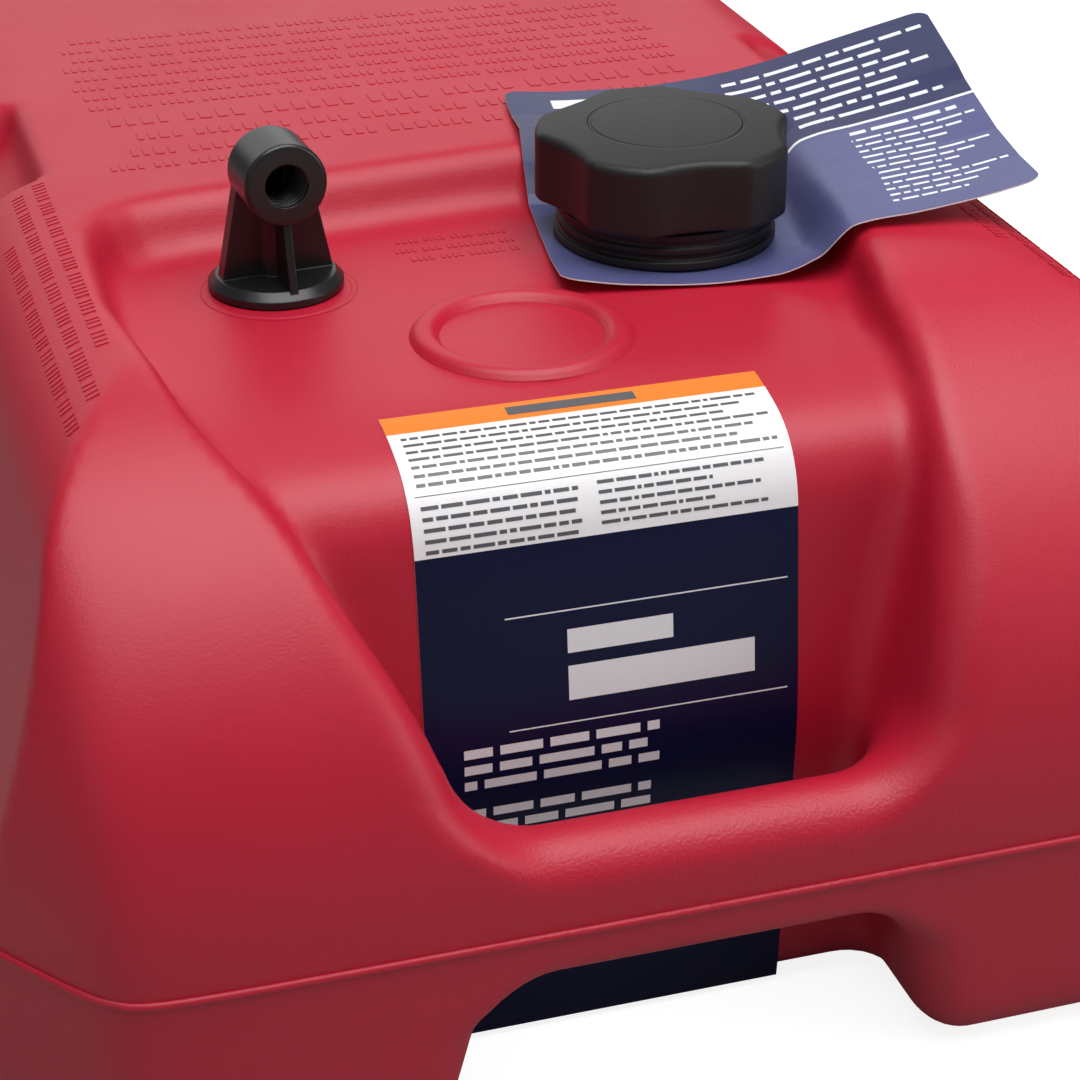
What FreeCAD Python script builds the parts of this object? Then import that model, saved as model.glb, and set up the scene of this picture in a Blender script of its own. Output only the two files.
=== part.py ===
import FreeCAD, Part
import math
import os

# Portable outboard fuel tank: a blow-moulded vessel with an integral front handle, a vented
# filler cap and a fuel withdrawal fitting. Millimetres. The origin is on the ground under the
# middle of the tank, +X is to the right, +Y to the rear and +Z up. The handle is at the front.

Vector = FreeCAD.Vector
Y_AXIS = Vector(0, 1, 0)
Z_AXIS = Vector(0, 0, 1)
FAR = 1000.0

# ---- Driving dimensions: tank ----
TANK_LENGTH = 533.0
TANK_WIDTH = 356.0
TANK_HEIGHT = 186.0
WALL = 4.0
PARTING_HEIGHT = 67.0          # height of the mould's parting line
BEAD_PROUD = 1.2               # how far the pinch bead stands out at the parting line
BEAD_HEIGHT = 2.4
NOSE_RADIUS = 110.0            # long curve from the front face up to the top
REAR_RADIUS = 48.0             # curve from the rear face up to the top
SHOULDER_RADIUS = 36.0         # curve from the flat top to the flanks
TOP_FLAT_HALF = 116.0          # half the width of the flat top
CORNER_INSET = 30.0            # how far the front corner facets cut in from each flank
CORNER_SETBACK = 42.0          # how far they run back from the front face
CORNER_RADIUS = 12.0           # rounding of each facet's front edge
REAR_CORNER_RADIUS = 50.0
LOWER_TAPER = 4.5              # draught of the lower half, from the parting line to the ground
BASE_EDGE_RADIUS = 15.0

# ---- Driving dimensions: handle, hand hole and recess ----
HANDLE_DEPTH = 24.0
HANDLE_TOP = 89.0
HANDLE_UNDERSIDE = 52.5
HANDLE_TOP_RADIUS = 11.6
HANDLE_BOTTOM_RADIUS = 7.0
HANDLE_END_RADIUS = 18.0       # curve from the top of the grip up into each arm
HANDLE_END_OUT = 5.0           # how far that curve reaches outside the hand hole
WALL_SETBACK = 44.0            # front face to the wall behind the handle, at the pinch line
WALL_LEAN = 6.0                # how far that wall leans back from the pinch line to the floor
WALL_FOOT_LEAN = 5.5           # how far it leans back from the pinch line to the ground
PINCH_HEIGHT = 85.0            # pinch line across the wall, level with the handle
HOLE_HALF_WIDTH = 56.0
ARCH_HALF_WIDTH = 55.0         # half the width of the arch below the handle, at its top
ARCH_FLARE = 12.0              # how much wider each side is at the ground
ARCH_CORNER_RADIUS = 16.0
FLOOR_DROP = 15.0              # floor of the recess, which carries the cap and the fitting, below the top
FLOOR_EDGE_RADIUS = 32.0       # rolls the floor over into the wall
RECESS_FOOT_RADIUS = 7.0       # where the recess sides meet the floor and the wall

RECESS_LENGTH = 256.5          # how far behind the front face the recess is cut at most
CUT_MARGIN = 40.0              # how far cutters run past the outside of the tank

# Plan of the recess at the pinch line and above the top, corners in the same order, each as
# (x, depth behind the front face).
RECESS_LOW = (
    (-56.0, -40.0), (56.0, -40.0), (56.0, 61.5), (59.0, 101.5), (65.0, 140.5),
    (70.0, 181.5), (-82.0, 156.5), (-93.0, 116.5), (-94.0, 76.5), (-56.0, 14.5),
)
RECESS_REAR_DEPTH = 146.0      # corners deeper than this belong to the recess's rear side
RECESS_LOW_RADII = (0, 0, 40, 40, 40, 20, 20, 40, 40, 20)

# Plan of the hand hole; its left side opens out towards the wall.
HAND_HOLE = ((-56.0, -40.0), (56.0, -40.0), (56.0, 76.5), (-94.0, 76.5), (-56.0, 14.5))
HAND_HOLE_RADII = (0, 0, 0, 0, 20)
RECESS_HIGH = (
    (-88.0, -40.0), (80.0, -40.0), (82.0, 41.5), (84.5, 96.5), (95.0, 140.5),
    (109.0, 245.5), (-124.0, 221.5), (-124.0, 154.5), (-114.0, 82.5), (-94.0, 24.5),
)
RECESS_HIGH_RADII = (0, 0, 60, 60, 60, 30, 34, 60, 80, 80)
RECESS_HIGH_ABOVE = 20.0       # the upper outline's height above the top of the tank

# ---- Driving dimensions: features on the tank ----
STRAP_NOTCH_Y = 10.0
STRAP_NOTCH_WIDTH = 64.0
STRAP_NOTCH_DEPTH = 7.0
STRAP_NOTCH_INNER = 122.0      # inner end of each strap seat from the middle
GAUGE_RING_PLACE = (-12.3, 122.5)     # x and depth behind the front face
GAUGE_RING_OUTER_RADIUS = 29.5
GAUGE_RING_INNER_RADIUS = 22.5
GAUGE_RING_HEIGHT = 2.6

# ---- Driving dimensions: filler neck and cap ----
CAP_PLACE = (47.5, 178.5)      # x and depth behind the front face
NECK_BORE_RADIUS = 22.0
NECK_THREAD_RADIUS = 28.0      # outside of the neck's thread
NECK_HEIGHT = 16.0             # neck rim above the recess floor
THREAD_CLEARANCE = 0.4         # all round between the neck's thread and the closure
CLOSURE_FLANGE_RADIUS = 32.0
CLOSURE_FLANGE_THICKNESS = 2.4
CLOSURE_GAP = 2.2              # closure flange above the recess floor, room for the leaflet
CLOSURE_RING_RADIUS = 31.3
CLOSURE_GROOVE_RADIUS = 30.5
CLOSURE_DECK = 3.0             # thickness of the closure's top
CLOSURE_LOWER_RING = (4.2, 6.2)   # two rings on its wall, heights above the closure's foot
CLOSURE_UPPER_RING = (8.0, 10.0)
CLOSURE_HUB_RADIUS = 5.0       # hub and arms that hold the relief spring's upper end
CLOSURE_ARM_WIDTH = 3.0
CAP_GASKET_THICKNESS = 2.0
CAP_GASKET_WIDTH = 5.0
SHELL_RADIUS = 37.5
SHELL_SKIRT_BOTTOM = 13.5      # shell's lower edge above the recess floor
SHELL_TOP = 34.0               # shell's shoulder above the recess floor
SHELL_DOME = 1.6
SHELL_WALL = 2.4
SHELL_FLUTES = 5
SHELL_FLUTE_RADIUS = 64.5
SHELL_FLUTE_DEPTH = 4.0
SHELL_SHOULDER_RADIUS = 2.5
SHELL_FIRST_FLUTE = -93.5      # direction of one flute, degrees from +X
SHELL_BORE_RADIUS = 32.1
SHELL_ENGRAVING = (21.4, 22.6)   # inner and outer radius of the circle cut in its top
SHELL_ENGRAVING_DEPTH = 1.2
SNAP_RIM_RADIUS = 31.6         # closure's rim that holds the shell on
SNAP_RIM_HEIGHT = 16.8         # underside of that rim above the recess floor
SNAP_GROOVE_RADIUS = 29.9
SNAP_LIP_RADIUS = 30.3         # lip inside the shell that catches under that rim
SNAP_CLEARANCE = 0.4           # between that lip and the rim above it
VENT_WAY_RADIUS = 11.0         # opening in the deck above the valve
RUNNING_GAP = 0.3              # between cap pieces that turn or slide on each other

# ---- Driving dimensions: ratchet ring and vent valve ----
RATCHET_TEETH = 24
RATCHET_TOOTH_HEIGHT = 1.4
RATCHET_THICKNESS = 2.0
RATCHET_INNER_RADIUS = 22.0
PAWL_COUNT = 4
PAWL_THICKNESS = 1.8
CAGE_RADIUS = 18.0
CAGE_FLANGE_RADIUS = 21.4
CAGE_DEPTH = 15.0
CAGE_WALL = 1.6
CAGE_SLOTS = 6
CAGE_SLOT_WIDTH = 4.0
RELIEF_SEAT_RADIUS = 10.0      # bore of the relief valve's seat
RELIEF_PLATE_RADIUS = 13.5
RELIEF_PLATE_THICKNESS = 1.8
RELIEF_SEAL_THICKNESS = 1.2
RELIEF_WIRE = 0.9
RELIEF_COIL_RADIUS = 8.6
RELIEF_TURNS = 3
VACUUM_SEAT_RADIUS = 3.2
VACUUM_DISC_RADIUS = 5.2
VACUUM_DISC_THICKNESS = 1.2
VACUUM_SEAL_THICKNESS = 0.8
VACUUM_STEM_RADIUS = 1.1
VACUUM_HEAD_THICKNESS = 0.8
VACUUM_WIRE = 0.45
VACUUM_COIL_RADIUS = 4.0
VACUUM_SPRING_LENGTH = 4.8
VACUUM_TURNS = 3

# ---- Driving dimensions: withdrawal fitting ----
FITTING_PLACE = (-67.5, 175.5)  # x and depth behind the front face
FITTING_FLANGE_RADIUS = 18.8
FITTING_FLANGE_THICKNESS = 4.6
FITTING_GROOVE_RADIUS = 25.0   # shallow moulded circle round the flange
FITTING_GROOVE_DEPTH = 0.6
FITTING_AXIS_HEIGHT = 34.0     # outlet axis above the recess floor
FITTING_HEAD_RADIUS = 11.5
FITTING_HEAD_FRONT = 14.8
FITTING_HEAD_REAR = 3.3
FITTING_PLATE_BOTTOM = 32.0
FITTING_PLATE_TOP = 19.8
FITTING_PLATE_THICKNESS = 5.0
FITTING_RIB_THICKNESS = 2.2
FITTING_FLANGE_BEVEL = 2.2      # slope at the flange's upper edge
FITTING_FOOT_BEVEL = 0.6
FITTING_COLUMN_RADIUS = 5.2     # pillar round the fuel way
FITTING_HEAD_EDGE = 1.2
FITTING_TURN = 5.0             # degrees the fitting is turned about its own axis
OUTLET_THREAD_RADIUS = 6.1     # mean radius of the quarter-inch pipe thread
OUTLET_THREAD_LENGTH = 13.0
FUEL_WAY_RADIUS = 3.0
SPIGOT_RADIUS = 9.0
SPIGOT_LENGTH = 16.0
SPIGOT_CLEARANCE = 0.15
FITTING_GASKET_THICKNESS = 1.6
FITTING_GASKET_WIDTH = 4.0
PICKUP_OUTER_RADIUS = 4.0
PICKUP_BORE_RADIUS = 2.8
PICKUP_SOCKET_DEPTH = 10.0     # how far the tube goes up into the spigot
PICKUP_FLOOR_GAP = 12.0        # end of the pickup tube above the inside of the base
STRAINER_RADIUS = 8.0
STRAINER_LENGTH = 22.0
STRAINER_FLOOR_GAP = 2.0
STRAINER_RIBS = 6
STRAINER_RIB_WIDTH = 1.6
STRAINER_RIM = 1.2              # depth of the frame's rims, inside which the screen runs
STRAINER_PLATE = 1.6            # thickness of its end plates and collar
STRAINER_COLLAR = 8.0           # length of the collar on the tube
SCREEN_THICKNESS = 0.5

# ---- Driving dimensions: label and leaflet ----
LABEL_LEFT = -61.5
LABEL_WIDTH = 100.0
LABEL_TOP_DEPTH = 83.5         # its top edge on the recess floor, behind the front face
LABEL_THICKNESS = 0.3
LABEL_BASE_GAP = 2.0
LEAFLET_PLACE = (5.5, 144.5)   # front left corner: x and depth behind the front face
LEAFLET_TURN = -9.0            # degrees its long side is turned from +X
LEAFLET_WIDTH = 135.0
LEAFLET_DEPTH = 125.0
LEAFLET_CORNER_RADIUS = 5.0
LEAFLET_EDGE_TRIM = 0.3
LEAFLET_THICKNESS = 0.4
LEAFLET_HOLE_CLEARANCE = 1.2

# Heights of the leaflet above the recess floor, over a grid measured from that corner:
# rows run front to back.
LEAFLET_COLUMNS = (0.0, 20.0, 40.0, 60.0, 72.0, 83.0, 100.0, 118.0, 135.0)
LEAFLET_ROWS = (0.0, 22.0, 44.0, 66.0, 78.0, 86.5, 104.0, 125.0)
LEAFLET_HEIGHTS = (
    (5.0, 2.0, 1.0, 2.5, 7.0, 16.4, 19.0, 22.5, 27.0),
    (2.0, 1.0, 0.9, 1.0, 2.0, 16.4, 19.0, 22.0, 26.0),
    (1.4, 0.8, 0.8, 0.8, 1.7, 16.2, 19.5, 22.5, 26.5),
    (1.8, 0.8, 0.8, 0.8, 3.5, 16.4, 20.5, 24.5, 29.0),
    (11.0, 4.2, 1.5, 2.6, 8.0, 17.2, 21.5, 26.0, 30.5),
    (18.6, 18.6, 17.0, 16.4, 16.8, 18.2, 22.8, 27.6, 32.5),
    (16.6, 16.2, 16.2, 16.8, 18.0, 20.5, 25.0, 30.0, 35.0),
    (17.4, 16.4, 16.6, 18.5, 20.5, 23.0, 28.0, 33.2, 38.0),
)

# ---- Derived places ----
FRONT = -TANK_LENGTH / 2
REAR = TANK_LENGTH / 2
HALF_WIDTH = TANK_WIDTH / 2
WALL_Y = FRONT + WALL_SETBACK
WALL_FOOT_Y = WALL_Y + WALL_FOOT_LEAN
FLOOR_HEIGHT = TANK_HEIGHT - FLOOR_DROP
RECESS_REAR = FRONT + RECESS_LENGTH
CAP_CENTRE = (CAP_PLACE[0], FRONT + CAP_PLACE[1])
FITTING_CENTRE = (FITTING_PLACE[0], FRONT + FITTING_PLACE[1])
GAUGE_RING_CENTRE = (GAUGE_RING_PLACE[0], FRONT + GAUGE_RING_PLACE[1])
DECK_BOTTOM = FLOOR_HEIGHT + NECK_HEIGHT + CAP_GASKET_THICKNESS
DECK_TOP = DECK_BOTTOM + CLOSURE_DECK
SEAT_HEIGHT = DECK_BOTTOM - CAGE_DEPTH + CAGE_WALL
SNAP_RIM_BOTTOM = FLOOR_HEIGHT + SNAP_RIM_HEIGHT
SNAP_LIP_TOP = SNAP_RIM_BOTTOM - SNAP_CLEARANCE


def box(low, high):
    """Block between two opposite corners."""
    size = [high[i] - low[i] for i in range(3)]
    return Part.makeBox(size[0], size[1], size[2], Vector(*low))


def tube(outer, inner, bottom, top, centre):
    """Round tube standing along Z on a centre (x, y)."""
    foot = Vector(centre[0], centre[1], bottom)
    solid = Part.makeCylinder(outer, top - bottom, foot)
    return solid.cut(Part.makeCylinder(inner, top - bottom + 2, foot - Z_AXIS))


def revolved(points, centre):
    """Solid of revolution about the vertical line through a centre, from (radius, height) points."""
    corners = [Vector(centre[0] + r, centre[1], z) for r, z in points]
    face = Part.Face(Part.makePolygon(corners + corners[:1]))
    return face.revolve(Vector(centre[0], centre[1], 0), Z_AXIS, 360)


def rounded_polygon(points, radii, place):
    """Closed wire through points whose corners are arcs; place turns (u, v) into a vector."""
    count = len(points)
    entries, exits, middles = [], [], []
    for i in range(count):
        corner = Vector(points[i][0], points[i][1], 0)
        before = Vector(points[i - 1][0], points[i - 1][1], 0) - corner
        after = Vector(points[(i + 1) % count][0], points[(i + 1) % count][1], 0) - corner
        before.normalize()
        after.normalize()
        if radii[i] <= 0:
            entries.append(corner)
            exits.append(corner)
            middles.append(None)
            continue
        half = before.getAngle(after) / 2
        reach = radii[i] / math.tan(half)
        entries.append(corner + before * reach)
        exits.append(corner + after * reach)
        bisector = before + after
        bisector.normalize()
        middles.append(corner + bisector * (radii[i] / math.sin(half) - radii[i]))
    edges = []
    for i in range(count):
        if middles[i] is not None:
            arc = Part.Arc(place(entries[i]), place(middles[i]), place(exits[i]))
            edges.append(arc.toShape())
        start, end = exits[i], entries[(i + 1) % count]
        if (start - end).Length > 1e-6:
            edges.append(Part.LineSegment(place(start), place(end)).toShape())
    return Part.Wire(edges)


def plan(height):
    """Placement rule for outlines drawn in plan at a height."""
    return lambda p: Vector(p.x, p.y, height)


def side_view(x):
    """Placement rule for outlines drawn as (y, z) at a given x."""
    return lambda p: Vector(x, p.x, p.y)


def front_view(y):
    """Placement rule for outlines drawn as (x, z) at a given y."""
    return lambda p: Vector(p.x, y, p.y)


def edges_where(shape, test):
    """Edges whose bounding box passes a test."""
    return [edge for edge in shape.Edges if test(edge.BoundBox)]


def edges_between(shape, first, second, low):
    """Edges above a height that lie on the surfaces of both first and second."""
    found = []
    for edge in shape.Edges:
        start, end = edge.ParameterRange
        points = [edge.valueAt(start + (end - start) * share) for share in (0.3, 0.5, 0.7)]
        if min(p.z for p in points) < low:
            continue
        vertices = [Part.Vertex(p) for p in points]
        gaps = [max(v.distToShape(first)[0], v.distToShape(second)[0]) for v in vertices]
        if max(gaps) < 0.02:
            found.append(edge)
    return found


# ---- Tank: outer form ----

def cross_section(inset):
    """Front view of the upper half: flat top, round shoulders and leaning flanks."""
    radius = SHOULDER_RADIUS - inset
    centre_x = TOP_FLAT_HALF
    centre_z = TANK_HEIGHT - SHOULDER_RADIUS
    foot_x = HALF_WIDTH - inset
    dx, dz = foot_x - centre_x, PARTING_HEIGHT - centre_z
    angle = math.atan2(dz, dx) + math.acos(radius / math.hypot(dx, dz))
    touch = (centre_x + radius * math.cos(angle), centre_z + radius * math.sin(angle))
    middle_angle = (angle + math.pi / 2) / 2
    middle = (centre_x + radius * math.cos(middle_angle), centre_z + radius * math.sin(middle_angle))
    top = (centre_x, centre_z + radius)

    def at(x, z):
        return Vector(x, -FAR, z)

    edges = []
    for side in (1, -1):
        flank = Part.LineSegment(at(side * foot_x, PARTING_HEIGHT), at(side * touch[0], touch[1]))
        edges.append(flank.toShape())
        edges.append(Part.Arc(at(side * touch[0], touch[1]), at(side * middle[0], middle[1]),
                              at(side * top[0], top[1])).toShape())
    edges.append(Part.LineSegment(at(top[0], top[1]), at(-top[0], top[1])).toShape())
    edges.append(Part.LineSegment(at(-foot_x, PARTING_HEIGHT), at(foot_x, PARTING_HEIGHT)).toShape())
    face = Part.Face(Part.Wire(Part.__sortEdges__(edges)))
    return face.extrude(Vector(0, 2 * FAR, 0))


def nose_face(x, inset):
    """Side view of the upper half at a given x: upright front, long nose curve and open rear."""
    radius = NOSE_RADIUS - inset
    front = FRONT + inset
    spring = TANK_HEIGHT - NOSE_RADIUS
    top = TANK_HEIGHT - inset
    centre_y = FRONT + NOSE_RADIUS
    lean = math.radians(45)
    middle = (centre_y - radius * math.cos(lean), spring + radius * math.sin(lean))
    place = side_view(x)

    def at(y, z):
        return place(Vector(y, z, 0))

    edges = [
        Part.LineSegment(at(front, 0), at(front, spring)).toShape(),
        Part.Arc(at(front, spring), at(*middle), at(centre_y, top)).toShape(),
        Part.LineSegment(at(centre_y, top), at(FAR, top)).toShape(),
        Part.LineSegment(at(FAR, top), at(FAR, 0)).toShape(),
        Part.LineSegment(at(FAR, 0), at(front, 0)).toShape(),
    ]
    return Part.Face(Part.Wire(edges))


def nose_form(inset):
    """Everything behind the nose: a straight middle and a facet swept back at each corner."""
    half = HALF_WIDTH - CORNER_INSET - inset * math.tan(math.atan2(CORNER_SETBACK, CORNER_INSET) / 2)
    form = nose_face(-half, inset).extrude(Vector(2 * half, 0, 0))
    for side in (1, -1):
        sweep = Vector(side * CORNER_INSET, CORNER_SETBACK, 0) * 2
        form = form.fuse(nose_face(side * half, inset).extrude(sweep))
    form = form.removeSplitter()

    def is_corner(b):
        return b.XLength < 0.01 and abs(abs(b.XMin) - half) < 0.01 and b.YMin < FRONT + NOSE_RADIUS - 2 \
            and b.YMax < FAR / 2 and b.ZLength > 1

    radius = CORNER_RADIUS - min(inset, CORNER_RADIUS / 2)
    return form.makeFillet(radius, edges_where(form, is_corner))


def rear_form(inset):
    """Everything in front of the rear face, with its upper edge and its corners rounded."""
    low, high = PARTING_HEIGHT - 1, TANK_HEIGHT + 1
    half = HALF_WIDTH - inset
    rear = REAR - inset
    outline = [(-half, FRONT - 1), (half, FRONT - 1), (half, rear), (-half, rear)]
    radius = REAR_CORNER_RADIUS - inset
    wire = rounded_polygon(outline, [0, 0, radius, radius], plan(low))
    prism = Part.Face(wire).extrude(Vector(0, 0, high - low))
    profile = [(FRONT - 1, low), (rear, low), (rear, TANK_HEIGHT - inset), (FRONT - 1, TANK_HEIGHT - inset)]
    wire = rounded_polygon(profile, [0, 0, REAR_RADIUS - inset, 0], side_view(-FAR / 2))
    return prism.common(Part.Face(wire).extrude(Vector(FAR, 0, 0)))


def base_outline(inset, height):
    """Plan of the tank at the parting line, drawn at a height and moved in by inset."""
    half = HALF_WIDTH - inset
    front = FRONT + inset
    rear = REAR - inset
    shift = inset * math.tan(math.atan2(CORNER_SETBACK, CORNER_INSET) / 2)
    facet_x = HALF_WIDTH - CORNER_INSET - shift
    facet_y = FRONT + CORNER_SETBACK + inset * math.tan(math.atan2(CORNER_INSET, CORNER_SETBACK) / 2)
    points = [(-facet_x, front), (facet_x, front), (half, facet_y), (half, rear), (-half, rear),
              (-half, facet_y)]
    front_radius = CORNER_RADIUS - min(inset, CORNER_RADIUS / 2)
    rear_radius = REAR_CORNER_RADIUS - inset
    radii = [front_radius, front_radius, 0, rear_radius, rear_radius, 0]
    return rounded_polygon(points, radii, plan(height))


def lower_form(inset):
    """Lower half: the parting outline drawn in to the ground, with a round base edge."""
    top = base_outline(inset, PARTING_HEIGHT)
    bottom = base_outline(inset + LOWER_TAPER, inset)
    form = Part.makeLoft([bottom, top], True, True)
    rim = edges_where(form, lambda b: b.ZMax < inset + 0.01)
    return form.makeFillet(BASE_EDGE_RADIUS - inset, rim)


def closed_form(inset):
    """Whole outside of the vessel moved in by inset, before anything is cut from it."""
    upper = cross_section(inset).common(nose_form(inset)).common(rear_form(inset))
    return upper.fuse(lower_form(inset))


# ---- Tank: recess, hand hole and arch ----

def front_space(inset):
    """Space before the wall and above the recess floor, drawn in side view across the tank."""
    floor = FLOOR_HEIGHT - inset
    front, rear, top = FRONT - CUT_MARGIN, RECESS_REAR, TANK_HEIGHT + RECESS_HIGH_ABOVE
    points = [
        (front, -1), (WALL_FOOT_Y + inset, -1), (WALL_Y + inset, PINCH_HEIGHT),
        (WALL_Y + WALL_LEAN + inset, floor), (rear, floor), (rear, top), (front, top),
    ]
    radii = [0, 0, 0, FLOOR_EDGE_RADIUS - inset, 0, 0, 0]
    wire = rounded_polygon(points, radii, side_view(-FAR / 2))
    return Part.Face(wire).extrude(Vector(FAR, 0, 0))


def recess_sides(inset):
    """Space between the sloping sides of the recess, from the hand hole up past the top."""
    wires = []
    for outline, radii, height in ((RECESS_LOW, RECESS_LOW_RADII, PINCH_HEIGHT),
                                   (RECESS_HIGH, RECESS_HIGH_RADII, TANK_HEIGHT + RECESS_HIGH_ABOVE)):
        points = []
        for x, depth in outline:
            grow_x = inset if x > 0 else -inset
            grow_y = inset if depth > RECESS_REAR_DEPTH else 0
            points.append((x + grow_x, FRONT + depth + grow_y))
        wires.append(rounded_polygon(points, radii, plan(height)))
    return Part.makeLoft(wires, True, True)


def arch_space(inset):
    """Arch below the handle, wider towards the ground."""
    half = ARCH_HALF_WIDTH + inset
    top = HANDLE_UNDERSIDE + inset
    wide = half + ARCH_FLARE
    points = [(-wide, -1), (wide, -1), (half, top), (-half, top)]
    radius = ARCH_CORNER_RADIUS + inset
    wire = rounded_polygon(points, [0, 0, radius, radius], front_view(FRONT - CUT_MARGIN))
    return Part.Face(wire).extrude(Vector(0, 2 * CUT_MARGIN + WALL_SETBACK, 0))


def open_space(inset):
    """All the space taken out of the closed form: recess, hand hole and arch."""
    shaft_plan = [(x + (inset if x > 0 else -inset), FRONT + depth) for x, depth in HAND_HOLE]
    wire = rounded_polygon(shaft_plan, HAND_HOLE_RADII, plan(-1))
    shaft = Part.Face(wire).extrude(Vector(0, 0, PINCH_HEIGHT + 1))
    front, sides = front_space(inset), recess_sides(inset)
    recess = sides.common(front)
    foot = edges_between(recess, front.Shells[0], sides.Shells[0], PINCH_HEIGHT + 0.1)
    recess = recess.makeFillet(RECESS_FOOT_RADIUS + inset, foot)
    return recess.fuse(shaft.fuse(arch_space(inset)).common(front))


def handle_bar():
    """Grip bar across the front, let into the tank and curved up into each arm."""
    back = FRONT + HANDLE_DEPTH
    reach = HOLE_HALF_WIDTH + 16
    points = [(FRONT, HANDLE_UNDERSIDE), (back, HANDLE_UNDERSIDE), (back, HANDLE_TOP), (FRONT, HANDLE_TOP)]
    radii = [HANDLE_BOTTOM_RADIUS, HANDLE_BOTTOM_RADIUS, HANDLE_TOP_RADIUS, HANDLE_TOP_RADIUS]
    wire = rounded_polygon(points, radii, side_view(-reach))
    bar = Part.Face(wire).extrude(Vector(2 * reach, 0, 0))
    arch_lean = ARCH_FLARE * ARCH_CORNER_RADIUS / HANDLE_UNDERSIDE
    webs = (
        (HANDLE_END_RADIUS, HANDLE_TOP - HANDLE_TOP_RADIUS, HANDLE_TOP + HANDLE_END_RADIUS,
         HANDLE_END_OUT, 1),
        (ARCH_CORNER_RADIUS, HANDLE_UNDERSIDE - ARCH_CORNER_RADIUS,
         HANDLE_UNDERSIDE + HANDLE_BOTTOM_RADIUS, arch_lean, 0),
    )
    for radius, low, high, outwards, at_top in webs:
        for side in (1, -1):
            inner = side * (HOLE_HALF_WIDTH + outwards - radius)
            outer = side * (reach - 1)
            web = box((min(inner, outer), FRONT, low), (max(inner, outer), back, high))
            spring = Vector(inner, FRONT - 1, high if at_top else low)
            scoop = Part.makeCylinder(radius, HANDLE_DEPTH + 2, spring, Y_AXIS)
            bar = bar.fuse(web.cut(scoop))
    return bar


def strap_notches(inset):
    """Cutters for the hold-down strap's seat across each shoulder."""
    solids = []
    inner = STRAP_NOTCH_INNER - inset
    low = TANK_HEIGHT - STRAP_NOTCH_DEPTH - inset
    top = TANK_HEIGHT + 30
    half = STRAP_NOTCH_WIDTH / 2 + inset
    for side in (1, -1):
        points = [(inner, top), (inner, low), (HALF_WIDTH + 20, low - 62), (HALF_WIDTH + 20, top)]
        points = [(side * x, z) for x, z in points]
        wire = rounded_polygon(points, [0, 16, 0, 0], front_view(STRAP_NOTCH_Y - half))
        solids.append(Part.Face(wire).extrude(Vector(0, 2 * half, 0)))
    return solids


def outer_form():
    """Outside of the vessel with the recess, hand hole, arch, handle and strap seats."""
    form = closed_form(0).cut(open_space(0))
    form = form.fuse(handle_bar().common(closed_form(0)))
    for notch in strap_notches(0):
        form = form.cut(notch)
    return form


def cavity():
    """Fuel space inside the wall."""
    form = closed_form(WALL).cut(open_space(WALL))
    for notch in strap_notches(WALL):
        form = form.cut(notch)
    return form


def tank_body():
    """The vessel: hollow, with handle, neck, gauge ring and fitting boss in one piece."""
    body = outer_form()
    bead = Part.Face(base_outline(-BEAD_PROUD, PARTING_HEIGHT - BEAD_HEIGHT / 2))
    bead = bead.extrude(Vector(0, 0, BEAD_HEIGHT)).cut(open_space(0))
    body = body.fuse(bead)
    body = body.cut(cavity())
    floor = FLOOR_HEIGHT
    body = body.fuse(tube(GAUGE_RING_OUTER_RADIUS, GAUGE_RING_INNER_RADIUS, floor - 1,
                          floor + GAUGE_RING_HEIGHT, GAUGE_RING_CENTRE))
    body = body.cut(tube(FITTING_GROOVE_RADIUS + 0.6, FITTING_GROOVE_RADIUS - 0.6,
                         floor - FITTING_GROOVE_DEPTH, floor + 1, FITTING_CENTRE))
    hole = Part.makeCylinder(SPIGOT_RADIUS + SPIGOT_CLEARANCE, 3 * WALL,
                             Vector(FITTING_CENTRE[0], FITTING_CENTRE[1], floor - 2 * WALL))
    body = body.cut(hole)
    rim = floor + NECK_HEIGHT
    body = body.fuse(tube(NECK_THREAD_RADIUS, NECK_BORE_RADIUS, floor - WALL, rim, CAP_CENTRE))
    bore = Part.makeCylinder(NECK_BORE_RADIUS, NECK_HEIGHT + 2 * WALL,
                             Vector(CAP_CENTRE[0], CAP_CENTRE[1], floor - WALL - 1))
    return body.cut(bore)


# ---- Filler cap ----

def cap_point(radius, angle, height):
    """Point on the cap at a radius and an angle in degrees."""
    turn = math.radians(angle)
    return Vector(CAP_CENTRE[0] + radius * math.cos(turn), CAP_CENTRE[1] + radius * math.sin(turn), height)


def around_cap(shape, count, first=0.0):
    """Copies of a shape spaced evenly round the cap's axis."""
    copies = []
    for index in range(count):
        copy = shape.copy()
        copy.rotate(cap_point(0, 0, 0), Z_AXIS, first + index * 360.0 / count)
        copies.append(copy)
    return copies


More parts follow.
